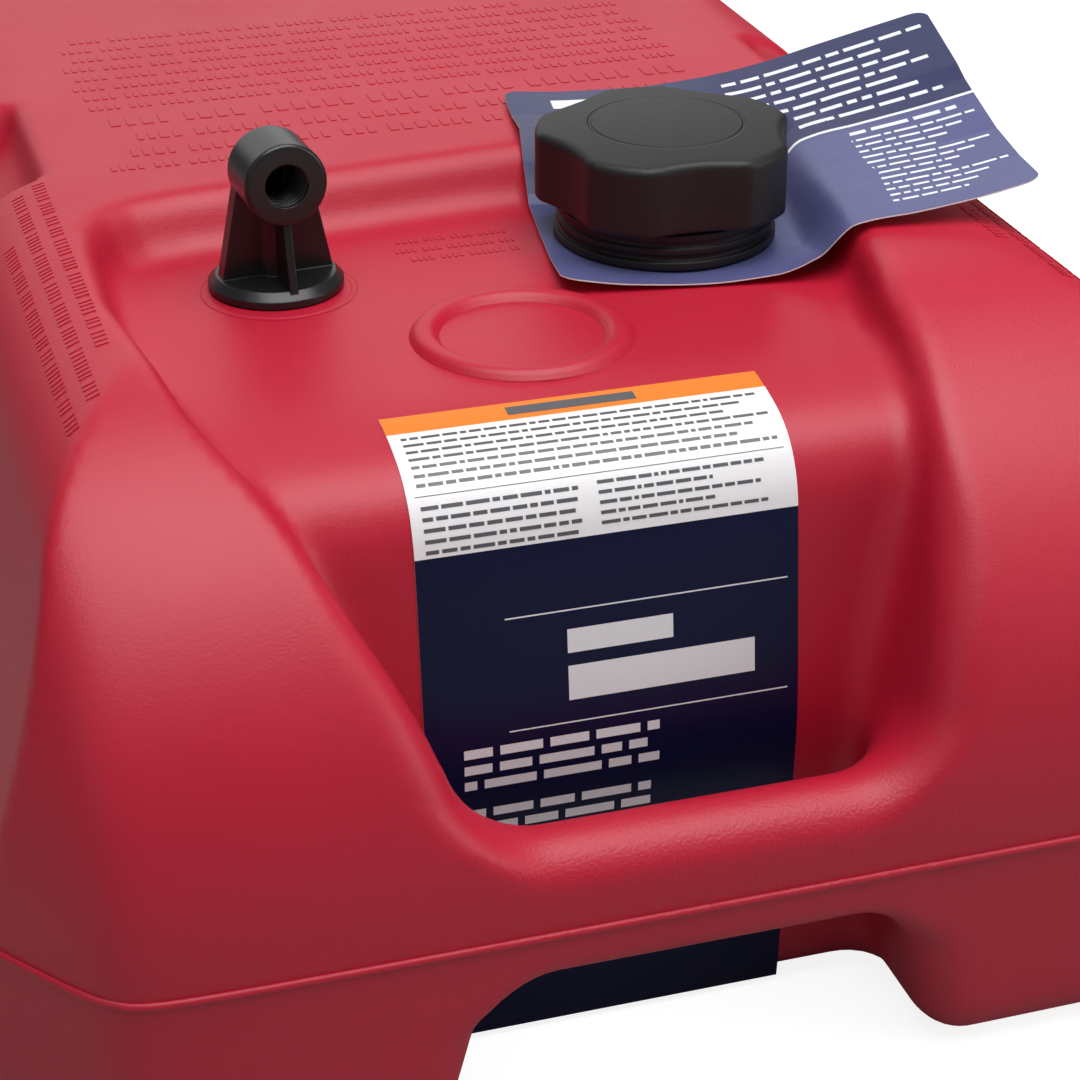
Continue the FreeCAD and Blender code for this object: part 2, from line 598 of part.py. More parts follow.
def cap_closure():
    """Threaded inner cap: flange, ringed wall and the deck that carries the vent valve."""
    foot = FLOOR_HEIGHT + CLOSURE_GAP
    bore = NECK_THREAD_RADIUS + THREAD_CLEARANCE
    flange = CLOSURE_FLANGE_RADIUS
    ring, groove = CLOSURE_RING_RADIUS, CLOSURE_GROOVE_RADIUS
    points = [
        (bore, foot), (flange, foot), (flange, foot + CLOSURE_FLANGE_THICKNESS),
        (groove, foot + CLOSURE_FLANGE_THICKNESS),
        (groove, foot + CLOSURE_LOWER_RING[0]), (ring, foot + CLOSURE_LOWER_RING[0]),
        (ring, foot + CLOSURE_LOWER_RING[1]), (groove, foot + CLOSURE_LOWER_RING[1]),
        (groove, foot + CLOSURE_UPPER_RING[0]), (ring, foot + CLOSURE_UPPER_RING[0]),
        (ring, foot + CLOSURE_UPPER_RING[1]), (SNAP_GROOVE_RADIUS, foot + CLOSURE_UPPER_RING[1]),
        (SNAP_GROOVE_RADIUS, SNAP_RIM_BOTTOM), (SNAP_RIM_RADIUS, SNAP_RIM_BOTTOM),
        (SNAP_RIM_RADIUS, DECK_TOP), (VENT_WAY_RADIUS, DECK_TOP),
        (VENT_WAY_RADIUS, DECK_BOTTOM), (bore, DECK_BOTTOM),
    ]
    closure = revolved(points, CAP_CENTRE)
    hub = Part.makeCylinder(CLOSURE_HUB_RADIUS, CLOSURE_DECK, cap_point(0, 0, DECK_BOTTOM))
    half_arm = CLOSURE_ARM_WIDTH / 2
    arm = box((CAP_CENTRE[0], CAP_CENTRE[1] - half_arm, DECK_BOTTOM),
              (CAP_CENTRE[0] + VENT_WAY_RADIUS + 1, CAP_CENTRE[1] + half_arm, DECK_TOP))
    return closure.fuse([hub] + around_cap(arm, 4, 45))


def cap_gasket():
    """Flat ring between the neck rim and the closure's deck."""
    outer = NECK_THREAD_RADIUS - 0.1
    return tube(outer, outer - CAP_GASKET_WIDTH, DECK_BOTTOM - CAP_GASKET_THICKNESS, DECK_BOTTOM, CAP_CENTRE)


def ratchet_ring():
    """Ring of saw teeth fixed on the closure's deck, which the pawls of the shell drive."""
    outer = SNAP_RIM_RADIUS - 0.6
    top = DECK_TOP + RATCHET_THICKNESS
    ring = tube(outer, RATCHET_INNER_RADIUS, DECK_TOP, top, CAP_CENTRE)
    step = 360.0 / RATCHET_TEETH
    inner_edge, outer_edge = RATCHET_INNER_RADIUS + 1.0, outer - 1.0
    profiles = []
    for radius in (inner_edge, outer_edge):
        face = [cap_point(radius, 0, top - 0.2), cap_point(radius, step * 0.42, top - 0.2),
                cap_point(radius, 0, top + RATCHET_TOOTH_HEIGHT)]
        profiles.append(Part.makePolygon(face + face[:1]))
    tooth = Part.makeLoft(profiles, True, True)
    return ring.fuse(around_cap(tooth, RATCHET_TEETH))


def shell_outline(reduction, height):
    """Plan of the cap shell: a circle with evenly spaced concave flutes."""
    radius = SHELL_RADIUS - reduction
    scoop = SHELL_FLUTE_RADIUS + reduction
    reach = SHELL_RADIUS - SHELL_FLUTE_DEPTH + SHELL_FLUTE_RADIUS
    cosine = (radius ** 2 + reach ** 2 - scoop ** 2) / (2 * radius * reach)
    half = math.degrees(math.acos(cosine))
    step = 360.0 / SHELL_FLUTES
    edges = []
    for index in range(SHELL_FLUTES):
        middle = SHELL_FIRST_FLUTE + index * step
        dip = cap_point(reach - scoop, middle, height)
        edges.append(Part.Arc(cap_point(radius, middle - half, height), dip,
                              cap_point(radius, middle + half, height)).toShape())
        edges.append(Part.Arc(cap_point(radius, middle + half, height),
                              cap_point(radius, middle + step / 2, height),
                              cap_point(radius, middle + step - half, height)).toShape())
    return Part.Wire(edges)


def cap_shell():
    """Hand grip over the closure: fluted skirt, domed top, snap lip and ratchet pawls."""
    bottom = FLOOR_HEIGHT + SHELL_SKIRT_BOTTOM
    top = FLOOR_HEIGHT + SHELL_TOP
    skirt = Part.Face(shell_outline(0, bottom)).extrude(Vector(0, 0, top + SHELL_DOME - bottom))
    dome_radius = (SHELL_RADIUS ** 2 + SHELL_DOME ** 2) / (2 * SHELL_DOME)
    start = SHELL_RADIUS + 2
    rim_drop = SHELL_SHOULDER_RADIUS
    edge_top = top - 0.4
    profile = [
        Part.LineSegment(cap_point(0, 0, bottom - 1), cap_point(start, 0, bottom - 1)).toShape(),
        Part.LineSegment(cap_point(start, 0, bottom - 1), cap_point(start, 0, edge_top - rim_drop)).toShape(),
        Part.LineSegment(cap_point(start, 0, edge_top - rim_drop),
                         cap_point(start - 2, 0, edge_top - rim_drop)).toShape(),
        Part.Arc(cap_point(start - 2, 0, edge_top - rim_drop),
                 cap_point(start - 2 - rim_drop * 0.29, 0, edge_top - rim_drop * 0.29),
                 cap_point(start - 2 - rim_drop, 0, edge_top)).toShape(),
        Part.Arc(cap_point(start - 2 - rim_drop, 0, edge_top),
                 cap_point((start - 2 - rim_drop) / 2, 0, top + SHELL_DOME * 0.72),
                 cap_point(0, 0, top + SHELL_DOME)).toShape(),
        Part.LineSegment(cap_point(0, 0, top + SHELL_DOME), cap_point(0, 0, bottom - 1)).toShape(),
    ]
    envelope = Part.Face(Part.Wire(profile)).revolve(cap_point(0, 0, 0), Z_AXIS, 360)
    shell = skirt.common(envelope)
    inside_top = top - SHELL_WALL
    hollow = Part.makeCylinder(SHELL_BORE_RADIUS, inside_top - bottom + 1, cap_point(0, 0, bottom - 1))
    shell = shell.cut(hollow)
    lip = tube(SHELL_BORE_RADIUS + 0.5, SNAP_LIP_RADIUS, bottom, SNAP_LIP_TOP, CAP_CENTRE)
    shell = shell.fuse(lip)
    engraving = tube(SHELL_ENGRAVING[1], SHELL_ENGRAVING[0], top + SHELL_DOME - SHELL_ENGRAVING_DEPTH,
                     top + SHELL_DOME + 1, CAP_CENTRE)
    shell = shell.cut(engraving)
    tip = DECK_TOP + RATCHET_THICKNESS + RUNNING_GAP
    x, y = CAP_CENTRE
    pawl = box((x + RATCHET_INNER_RADIUS + 1.5, y - RUNNING_GAP - PAWL_THICKNESS, tip),
               (x + SNAP_RIM_RADIUS - 2.5, y - RUNNING_GAP, inside_top + 0.5))
    return shell.fuse(around_cap(pawl, PAWL_COUNT))


# ---- Vent valve ----

def valve_cage():
    """Slotted cup below the deck whose floor is the relief valve's seat."""
    bottom = DECK_BOTTOM - CAGE_DEPTH
    points = [
        (RELIEF_SEAT_RADIUS, bottom), (CAGE_RADIUS, bottom), (CAGE_RADIUS, DECK_BOTTOM - CAGE_WALL),
        (CAGE_FLANGE_RADIUS, DECK_BOTTOM - CAGE_WALL), (CAGE_FLANGE_RADIUS, DECK_BOTTOM),
        (CAGE_RADIUS - CAGE_WALL, DECK_BOTTOM), (CAGE_RADIUS - CAGE_WALL, bottom + CAGE_WALL),
        (RELIEF_SEAT_RADIUS, bottom + CAGE_WALL),
    ]
    cage = revolved(points, CAP_CENTRE)
    x, y = CAP_CENTRE
    half_slot = CAGE_SLOT_WIDTH / 2
    slot = box((x + CAGE_RADIUS - 2 * CAGE_WALL, y - half_slot, bottom + 3 * CAGE_WALL),
               (x + CAGE_RADIUS + 1, y + half_slot, DECK_BOTTOM - 2 * CAGE_WALL))
    return cage.cut(around_cap(slot, CAGE_SLOTS))


def relief_plate():
    """Pressure relief plate: guide ears, a bored seat for the vacuum disc and its spider."""
    bottom = SEAT_HEIGHT + RELIEF_SEAL_THICKNESS
    top = bottom + RELIEF_PLATE_THICKNESS
    plate = tube(RELIEF_PLATE_RADIUS, VACUUM_SEAT_RADIUS, bottom, top, CAP_CENTRE)
    reach = CAGE_RADIUS - CAGE_WALL - RUNNING_GAP
    ear = box((CAP_CENTRE[0] + RELIEF_PLATE_RADIUS - 1, CAP_CENTRE[1] - 2, bottom),
              (CAP_CENTRE[0] + reach - 0.2, CAP_CENTRE[1] + 2, top))
    hub = tube(VACUUM_STEM_RADIUS + 0.9, VACUUM_STEM_RADIUS + 0.1, bottom + 0.6, top, CAP_CENTRE)
    spoke = box((CAP_CENTRE[0] + VACUUM_STEM_RADIUS + 0.4, CAP_CENTRE[1] - 0.4, bottom + 0.6),
                (CAP_CENTRE[0] + VACUUM_SEAT_RADIUS + 0.3, CAP_CENTRE[1] + 0.4, top))
    return plate.fuse(around_cap(ear, 3, 30) + [hub] + around_cap(spoke, 3, 90))


def relief_seal():
    """Rubber ring under the relief plate."""
    return tube(RELIEF_PLATE_RADIUS - 0.2, RELIEF_SEAT_RADIUS - 1.0, SEAT_HEIGHT,
                SEAT_HEIGHT + RELIEF_SEAL_THICKNESS, CAP_CENTRE)


def coil(radius, wire, turns, bottom, top):
    """Coil spring standing on the cap's axis between two heights."""
    pitch = (top - bottom - wire) / turns
    edges = []
    for half_turn in range(2 * turns):
        path = Part.makeHelix(pitch, pitch / 2, radius)
        path.rotate(Vector(0, 0, 0), Z_AXIS, 180.0 * half_turn)
        path.translate(cap_point(0, 0, bottom + wire / 2 + half_turn * pitch / 2))
        edges += path.Edges
    start = cap_point(radius, 0, bottom + wire / 2)
    section = Part.Wire(Part.makeCircle(wire / 2, start, Y_AXIS))
    return Part.Wire(edges).makePipeShell([section], True, True)


def vacuum_disc():
    """Vacuum breaker: a disc under the relief plate on a headed stem."""
    top = SEAT_HEIGHT + RELIEF_SEAL_THICKNESS - VACUUM_SEAL_THICKNESS
    plate_top = SEAT_HEIGHT + RELIEF_SEAL_THICKNESS + RELIEF_PLATE_THICKNESS
    head = plate_top + VACUUM_SPRING_LENGTH
    points = [
        (0, top - VACUUM_DISC_THICKNESS), (VACUUM_DISC_RADIUS, top - VACUUM_DISC_THICKNESS),
        (VACUUM_DISC_RADIUS, top), (VACUUM_STEM_RADIUS, top), (VACUUM_STEM_RADIUS, head),
        (VACUUM_COIL_RADIUS + VACUUM_WIRE, head),
        (VACUUM_COIL_RADIUS + VACUUM_WIRE, head + VACUUM_HEAD_THICKNESS),
        (0, head + VACUUM_HEAD_THICKNESS),
    ]
    return revolved(points, CAP_CENTRE)


def vacuum_seal():
    """Rubber ring between the vacuum disc and the relief plate."""
    top = SEAT_HEIGHT + RELIEF_SEAL_THICKNESS
    return tube(VACUUM_DISC_RADIUS, VACUUM_SEAT_RADIUS + 0.1, top - VACUUM_SEAL_THICKNESS, top, CAP_CENTRE)


# ---- Withdrawal fitting ----

def fitting_turned(shape):
    """Turn a shape about the fitting's own axis by the amount it is screwed round."""
    shape.rotate(Vector(FITTING_CENTRE[0], FITTING_CENTRE[1], 0), Z_AXIS, FITTING_TURN)
    return shape


def fuel_fitting():
    """Elbow with a round flange, a web plate with a front rib, and a threaded outlet."""
    x, y = FITTING_CENTRE
    floor = FLOOR_HEIGHT
    axis = floor + FITTING_AXIS_HEIGHT
    top = floor + FITTING_FLANGE_THICKNESS
    rim = FITTING_FLANGE_RADIUS
    flange = revolved([(0, floor), (rim - FITTING_FOOT_BEVEL, floor), (rim, floor + FITTING_FOOT_BEVEL),
                       (rim, top - FITTING_FLANGE_BEVEL), (rim - FITTING_FLANGE_BEVEL, top), (0, top)],
                      FITTING_CENTRE)
    spigot = Part.makeCylinder(SPIGOT_RADIUS, SPIGOT_LENGTH, Vector(x, y, floor - SPIGOT_LENGTH))
    half_low, half_high = FITTING_PLATE_BOTTOM / 2, FITTING_PLATE_TOP / 2
    outline = [(x - half_low, top - 1), (x + half_low, top - 1), (x + half_high, axis), (x - half_high, axis)]
    wire = rounded_polygon(outline, [0, 0, 0, 0], front_view(y - FITTING_PLATE_THICKNESS / 2))
    plate = Part.Face(wire).extrude(Vector(0, FITTING_PLATE_THICKNESS, 0))
    rib_foot, rib_head = y - FITTING_FLANGE_RADIUS + 1.4, y - FITTING_HEAD_FRONT + 3
    rib_line = [(rib_foot, top - 1), (y, top - 1), (y, axis - 5), (rib_head, axis - 5)]
    wire = rounded_polygon(rib_line, [0, 0, 0, 0], side_view(x - FITTING_RIB_THICKNESS / 2))
    rib = Part.Face(wire).extrude(Vector(FITTING_RIB_THICKNESS, 0, 0))
    column = Part.makeCylinder(FITTING_COLUMN_RADIUS, FITTING_AXIS_HEIGHT, Vector(x, y, floor))
    length = FITTING_HEAD_FRONT + FITTING_HEAD_REAR
    head = Part.makeCylinder(FITTING_HEAD_RADIUS, length, Vector(x, y - FITTING_HEAD_FRONT, axis), Y_AXIS)
    ends = edges_where(head, lambda b: b.YLength < 0.01)
    head = head.makeFillet(FITTING_HEAD_EDGE, ends)
    fitting = flange.fuse([spigot, plate, rib, column, head])
    outlet = Part.makeCylinder(OUTLET_THREAD_RADIUS, OUTLET_THREAD_LENGTH + 1,
                               Vector(x, y - FITTING_HEAD_FRONT - 1, axis), Y_AXIS)
    way = Part.makeCylinder(FUEL_WAY_RADIUS, SPIGOT_LENGTH + FITTING_AXIS_HEIGHT + 1,
                            Vector(x, y, floor - SPIGOT_LENGTH - 1))
    socket = Part.makeCylinder(PICKUP_OUTER_RADIUS, PICKUP_SOCKET_DEPTH + 1,
                               Vector(x, y, floor - SPIGOT_LENGTH - 1))
    cross = Part.makeCylinder(FUEL_WAY_RADIUS, 6, Vector(x, y - 4, axis), Y_AXIS)
    seat = tube(SPIGOT_RADIUS + FITTING_GASKET_WIDTH, SPIGOT_RADIUS - 0.01, floor - 1,
                floor + FITTING_GASKET_THICKNESS, FITTING_CENTRE)
    fitting = fitting.cut([outlet, way, socket, cross, seat])
    return fitting_turned(fitting)


def fitting_gasket():
    """Ring in the flange's underside, squeezed on the tank around the spigot."""
    return tube(SPIGOT_RADIUS + FITTING_GASKET_WIDTH, SPIGOT_RADIUS, FLOOR_HEIGHT,
                FLOOR_HEIGHT + FITTING_GASKET_THICKNESS, FITTING_CENTRE)


def pickup_tube():
    """Straight tube from the fitting's spigot down into the strainer."""
    top = FLOOR_HEIGHT - SPIGOT_LENGTH + PICKUP_SOCKET_DEPTH
    return tube(PICKUP_OUTER_RADIUS, PICKUP_BORE_RADIUS, WALL + PICKUP_FLOOR_GAP, top, FITTING_CENTRE)


def strainer_frame():
    """Ribbed cage on the end of the pickup tube."""
    x, y = FITTING_CENTRE
    bottom = WALL + STRAINER_FLOOR_GAP
    top = bottom + STRAINER_LENGTH
    crown_bottom = top - STRAINER_COLLAR
    crown_top = crown_bottom + STRAINER_PLATE
    tube_end = WALL + PICKUP_FLOOR_GAP
    inner = STRAINER_RADIUS - STRAINER_RIM
    sleeve = PICKUP_OUTER_RADIUS + STRAINER_PLATE
    base = Part.makeCylinder(STRAINER_RADIUS, STRAINER_PLATE, Vector(x, y, bottom))
    crown = tube(STRAINER_RADIUS, PICKUP_OUTER_RADIUS, crown_bottom, crown_top, FITTING_CENTRE)
    collar = tube(sleeve, PICKUP_OUTER_RADIUS, crown_bottom, top, FITTING_CENTRE)
    stop = tube(sleeve, PICKUP_BORE_RADIUS, tube_end - STRAINER_RIM, tube_end, FITTING_CENTRE)
    frame = base.fuse([crown, collar, stop])
    half_rib = STRAINER_RIB_WIDTH / 2
    rib = box((x + sleeve - 1, y - half_rib, bottom), (x + inner, y + half_rib, crown_top))
    ribs = []
    for index in range(STRAINER_RIBS):
        copy = rib.copy()
        copy.rotate(Vector(x, y, 0), Z_AXIS, index * 360.0 / STRAINER_RIBS)
        ribs.append(copy)
    inside = Part.makeCylinder(inner, STRAINER_LENGTH, Vector(x, y, bottom))
    return frame.fuse([copy.common(inside) for copy in ribs])


def strainer_screen():
    """Fine screen round the strainer's ribs."""
    bottom = WALL + STRAINER_FLOOR_GAP + STRAINER_PLATE
    top = WALL + STRAINER_FLOOR_GAP + STRAINER_LENGTH - STRAINER_COLLAR
    inner = STRAINER_RADIUS - STRAINER_RIM
    return tube(inner + SCREEN_THICKNESS, inner, bottom, top, FITTING_CENTRE)


# ---- Label and leaflet ----

def tank_label():
    """Thin film that follows the recess floor, the roll-over and the wall down to the ground."""
    outside = front_space(-LABEL_THICKNESS)
    film = front_space(0).cut(outside)
    band = box((LABEL_LEFT, FRONT, LABEL_BASE_GAP),
               (LABEL_LEFT + LABEL_WIDTH, FRONT + LABEL_TOP_DEPTH, FLOOR_HEIGHT + WALL))
    return film.common(band)


def calm_slopes(places, heights):
    """Slope at each point of a row such that a curve through them never overshoots."""
    steps = []
    for i in range(len(places) - 1):
        steps.append((heights[i + 1] - heights[i]) / (places[i + 1] - places[i]))
    slopes = [steps[0]]
    for before, after in zip(steps, steps[1:]):
        if before * after <= 0:
            slopes.append(0.0)
        else:
            slopes.append(2 * before * after / (before + after))
    slopes.append(steps[-1])
    return slopes


def leaflet():
    """Loose sheet held round the neck under the cap, its free end risen over the tank's side."""
    turn = math.radians(LEAFLET_TURN)
    along = Vector(math.cos(turn), math.sin(turn), 0)
    across = Vector(-math.sin(turn), math.cos(turn), 0)
    corner = Vector(LEAFLET_PLACE[0], FRONT + LEAFLET_PLACE[1], FLOOR_HEIGHT)
    wires = []
    for depth, heights in zip(LEAFLET_ROWS, LEAFLET_HEIGHTS):
        points, tangents = [], []
        for length, height, slope in zip(LEAFLET_COLUMNS, heights, calm_slopes(LEAFLET_COLUMNS, heights)):
            points.append(corner + along * length + across * depth + Z_AXIS * height)
            tangents.append(along + Z_AXIS * slope)
        curve = Part.BSplineCurve()
        curve.interpolate(Points=points, Parameters=list(LEAFLET_COLUMNS), Tangents=tangents,
                          TangentFlags=[True] * len(points))
        wires.append(Part.Wire(curve.toShape()))
    strips = []
    for near, far in zip(wires, wires[1:]):
        for face in Part.makeLoft([near, far], False, True).Faces:
            strips.append(face.extrude(Vector(0, 0, LEAFLET_THICKNESS)))
    sheet = strips[0].fuse(strips[1:])
    edge = LEAFLET_EDGE_TRIM
    corners = []
    for length in (edge, LEAFLET_WIDTH - edge):
        for depth in (edge, LEAFLET_DEPTH - edge):
            point = corner + along * length + across * depth
            corners.append((point.x, point.y))
    corners = [corners[0], corners[2], corners[3], corners[1]]
    wire = rounded_polygon(corners, [LEAFLET_CORNER_RADIUS] * 4, plan(0))
    sheet = sheet.common(Part.Face(wire).extrude(Vector(0, 0, 2 * TANK_HEIGHT)))
    hole = Part.makeCylinder(NECK_THREAD_RADIUS + LEAFLET_HOLE_CLEARANCE, 2 * TANK_HEIGHT, cap_point(0, 0, 0))
    return sheet.cut(hole)


def write_part(name, shape):
    """Write one piece as a STEP file."""
    shape.exportStep("parts/" + name + ".step")


def main():
    """Build every piece and write it."""
    os.makedirs("parts", exist_ok=True)
    plate_bottom = SEAT_HEIGHT + RELIEF_SEAL_THICKNESS
    plate_top = plate_bottom + RELIEF_PLATE_THICKNESS
    write_part("tank_body", tank_body())
    write_part("tank_label", tank_label())
    write_part("leaflet", leaflet())
    write_part("cap_shell", cap_shell())
    write_part("cap_closure", cap_closure())
    write_part("cap_gasket", cap_gasket())
    write_part("ratchet_ring", ratchet_ring())
    write_part("valve_cage", valve_cage())
    write_part("relief_plate", relief_plate())
    write_part("relief_seal", relief_seal())
    write_part("relief_spring", coil(RELIEF_COIL_RADIUS, RELIEF_WIRE, RELIEF_TURNS, plate_top, DECK_BOTTOM))
    write_part("vacuum_disc", vacuum_disc())
    write_part("vacuum_seal", vacuum_seal())
    write_part("vacuum_spring", coil(VACUUM_COIL_RADIUS, VACUUM_WIRE, VACUUM_TURNS, plate_top,
                                     plate_top + VACUUM_SPRING_LENGTH))
    write_part("fuel_fitting", fuel_fitting())
    write_part("fitting_gasket", fitting_gasket())
    write_part("pickup_tube", pickup_tube())
    write_part("strainer_frame", strainer_frame())
    write_part("strainer_screen", strainer_screen())


main()
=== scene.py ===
import json
import logging
import math
from dataclasses import dataclass
from enum import Enum
from typing import Callable

import bpy
import numpy as np
from mathutils import Matrix, Vector


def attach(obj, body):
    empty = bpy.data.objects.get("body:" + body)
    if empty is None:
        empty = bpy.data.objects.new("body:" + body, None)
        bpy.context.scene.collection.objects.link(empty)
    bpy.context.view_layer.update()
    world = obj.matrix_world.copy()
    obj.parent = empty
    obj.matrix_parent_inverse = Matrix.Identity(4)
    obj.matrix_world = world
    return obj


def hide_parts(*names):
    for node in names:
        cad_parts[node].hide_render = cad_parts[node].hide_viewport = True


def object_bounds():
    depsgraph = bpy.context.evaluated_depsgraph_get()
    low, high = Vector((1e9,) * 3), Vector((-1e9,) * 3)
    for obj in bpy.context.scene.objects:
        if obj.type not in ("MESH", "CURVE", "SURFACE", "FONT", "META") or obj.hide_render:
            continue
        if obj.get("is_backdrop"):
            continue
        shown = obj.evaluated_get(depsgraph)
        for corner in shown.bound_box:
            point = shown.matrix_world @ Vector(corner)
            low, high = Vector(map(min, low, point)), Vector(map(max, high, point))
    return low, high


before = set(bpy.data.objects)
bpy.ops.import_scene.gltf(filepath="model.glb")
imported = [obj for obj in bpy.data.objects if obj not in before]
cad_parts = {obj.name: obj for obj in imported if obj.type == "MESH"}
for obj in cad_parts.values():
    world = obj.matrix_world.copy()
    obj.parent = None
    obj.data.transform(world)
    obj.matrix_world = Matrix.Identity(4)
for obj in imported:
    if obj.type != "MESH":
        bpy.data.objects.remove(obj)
BOUNDS_AT_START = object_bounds()

LOG = logging.getLogger("fuel_tank")
MM = 0.001
Array = np.ndarray
Point = tuple[float, float]
Colour = tuple[float, float, float]


class Body(str, Enum):
    """Moving groups that a piece can ride on."""

    TANK = "tank"
    SHELL = "shell"


class Slot(str, Enum):
    """Material slots of the pieces that are made here."""

    RED = "red_plastic"
    LABEL = "label_film"
    LEAFLET = "leaflet_card"
    BLACK = "black_plastic"


class Print(int, Enum):
    """Finishes of the label film, in the order of its mesh's materials."""

    NAVY = 0
    PAPER = 1
    ORANGE = 2
    INK = 3
    PALE = 4


# ---- Materials ----


class Shader:
    """Small builder for a material's node tree."""

    def __init__(self, name: str) -> None:
        """Start a material.

        Args:
            name: the material's name.
        """
        self.material = bpy.data.materials.new(name)
        self.material.use_nodes = True
        self.nodes = self.material.node_tree.nodes
        self.links = self.material.node_tree.links
        self.surface = self.nodes["Principled BSDF"]
        self.coordinates = self.nodes.new("ShaderNodeTexCoord").outputs["Object"]

    def noise(self, scale: float, detail: float = 2.0) -> bpy.types.NodeSocket:
        """Noise over object space.

        Args:
            scale: noise cells per metre.
            detail: octaves.

        Returns:
            The noise value.
        """
        node = self.nodes.new("ShaderNodeTexNoise")
        node.inputs["Scale"].default_value = scale
        node.inputs["Detail"].default_value = detail
        self.links.new(self.coordinates, node.inputs["Vector"])
        return node.outputs["Fac"]

    def cells(self, scale: float) -> bpy.types.NodeSocket:
        """Cell pattern over object space, for a moulded grain.

        Args:
            scale: cells per metre.

        Returns:
            The distance to the nearest cell centre.
        """
        node = self.nodes.new("ShaderNodeTexVoronoi")
        node.inputs["Scale"].default_value = scale
        self.links.new(self.coordinates, node.inputs["Vector"])
        return node.outputs["Distance"]

    def math(self, kind: str, first: object, second: object = 0.0) -> bpy.types.NodeSocket:
        """One arithmetic node.

        Args:
            kind: Blender's name of the operation.
            first: socket or number.
            second: socket or number.

        Returns:
            The result.
        """
        node = self.nodes.new("ShaderNodeMath")
        node.operation = kind
        for socket, value in zip(node.inputs, (first, second)):
            if isinstance(value, bpy.types.NodeSocket):
                self.links.new(value, socket)
            else:
                socket.default_value = value
        return node.outputs[0]

    def ramp(self, value: bpy.types.NodeSocket, low: float, high: float) -> bpy.types.NodeSocket:
        """Smooth step of a value between two limits.

        Args:
            value: what is mapped.
            low: value that gives 0.
            high: value that gives 1.

        Returns:
            The step, from 0 to 1.
        """
        node = self.nodes.new("ShaderNodeMapRange")
        node.interpolation_type = "SMOOTHSTEP"
        node.inputs["From Min"].default_value = low
        node.inputs["From Max"].default_value = high
        self.links.new(value, node.inputs["Value"])
        return node.outputs["Result"]

    def mix(self, share: bpy.types.NodeSocket, first: object, second: object) -> bpy.types.NodeSocket:
        """Mix of two colours.

        Args:
            share: how much of the second.
            first: socket or colour.
            second: socket or colour.

        Returns:
            The mixed colour.
        """
        node = self.nodes.new("ShaderNodeMix")
        node.data_type = "RGBA"
        self.links.new(share, node.inputs[0])
        for socket, value in ((node.inputs[6], first), (node.inputs[7], second)):
            if isinstance(value, bpy.types.NodeSocket):
                self.links.new(value, socket)
            else:
                socket.default_value = (*value, 1.0)
        return node.outputs[2]

    def circle(self, centre: Point, radius: float, width: float) -> bpy.types.NodeSocket:
        """Groove round a vertical axis.

        Args:
            centre: the axis in plan, in metres.
            radius: of the groove.
            width: half its width.

        Returns:
            0 in the groove and 1 beside it.
        """
        x, y, _ = self.position()
        dx = self.math("SUBTRACT", x, centre[0])
        dy = self.math("SUBTRACT", y, centre[1])
        square = self.math("ADD", self.math("MULTIPLY", dx, dx), self.math("MULTIPLY", dy, dy))
        off = self.math("ABSOLUTE", self.math("SUBTRACT", self.math("SQRT", square), radius))
        return self.ramp(off, 0.3 * width, width)

    def position(self) -> tuple[bpy.types.NodeSocket, ...]:
        """Object coordinates, split.

        Returns:
            The x, y and z sockets.
        """
        node = self.nodes.new("ShaderNodeSeparateXYZ")
        self.links.new(self.coordinates, node.inputs[0])
        return tuple(node.outputs)

    def bump(self, height: bpy.types.NodeSocket, depth: float, edge: float = 0.0) -> None:
        """Raise the surface by a height pattern, over an optional softened edge.

        Args:
            height: pattern from 0 to 1.
            depth: what 1 is worth, in metres.
            edge: radius in metres to which edges look rounded.
        """
        node = self.nodes.new("ShaderNodeBump")
        node.inputs["Distance"].default_value = depth
        self.links.new(height, node.inputs["Height"])
        if edge:
            bevel = self.nodes.new("ShaderNodeBevel")
            bevel.samples = 6
            bevel.inputs["Radius"].default_value = edge
            self.links.new(bevel.outputs["Normal"], node.inputs["Normal"])
        self.links.new(node.outputs["Normal"], self.surface.inputs["Normal"])


@dataclass(frozen=True)
class Finish:
    """A moulded or metal finish with an even colour and a fine surface pattern."""

    name: str
    colour: Colour
    roughness: float
    grain_scale: float = 900.0
    grain_depth: float = 0.00004
    edge: float = 0.0
    metallic: float = 0.0
    transmission: float = 0.0
    specular: float = 0.5

    def shader(self) -> Shader:
        """Set the even values and the pattern.

        Returns:
            The shader, which can still be changed.
        """
        shader = Shader(self.name)
        surface = shader.surface.inputs
        surface["Base Color"].default_value = (*self.colour, 1.0)
        surface["Roughness"].default_value = self.roughness
        surface["Metallic"].default_value = self.metallic
        surface["Transmission Weight"].default_value = self.transmission
        surface["Specular IOR Level"].default_value = self.specular
        if self.grain_depth:
            shader.bump(shader.noise(self.grain_scale), self.grain_depth, self.edge)
        return shader

    def build(self) -> bpy.types.Material:
        """Make the material.

        Returns:
            The material.
        """
        return self.shader().material


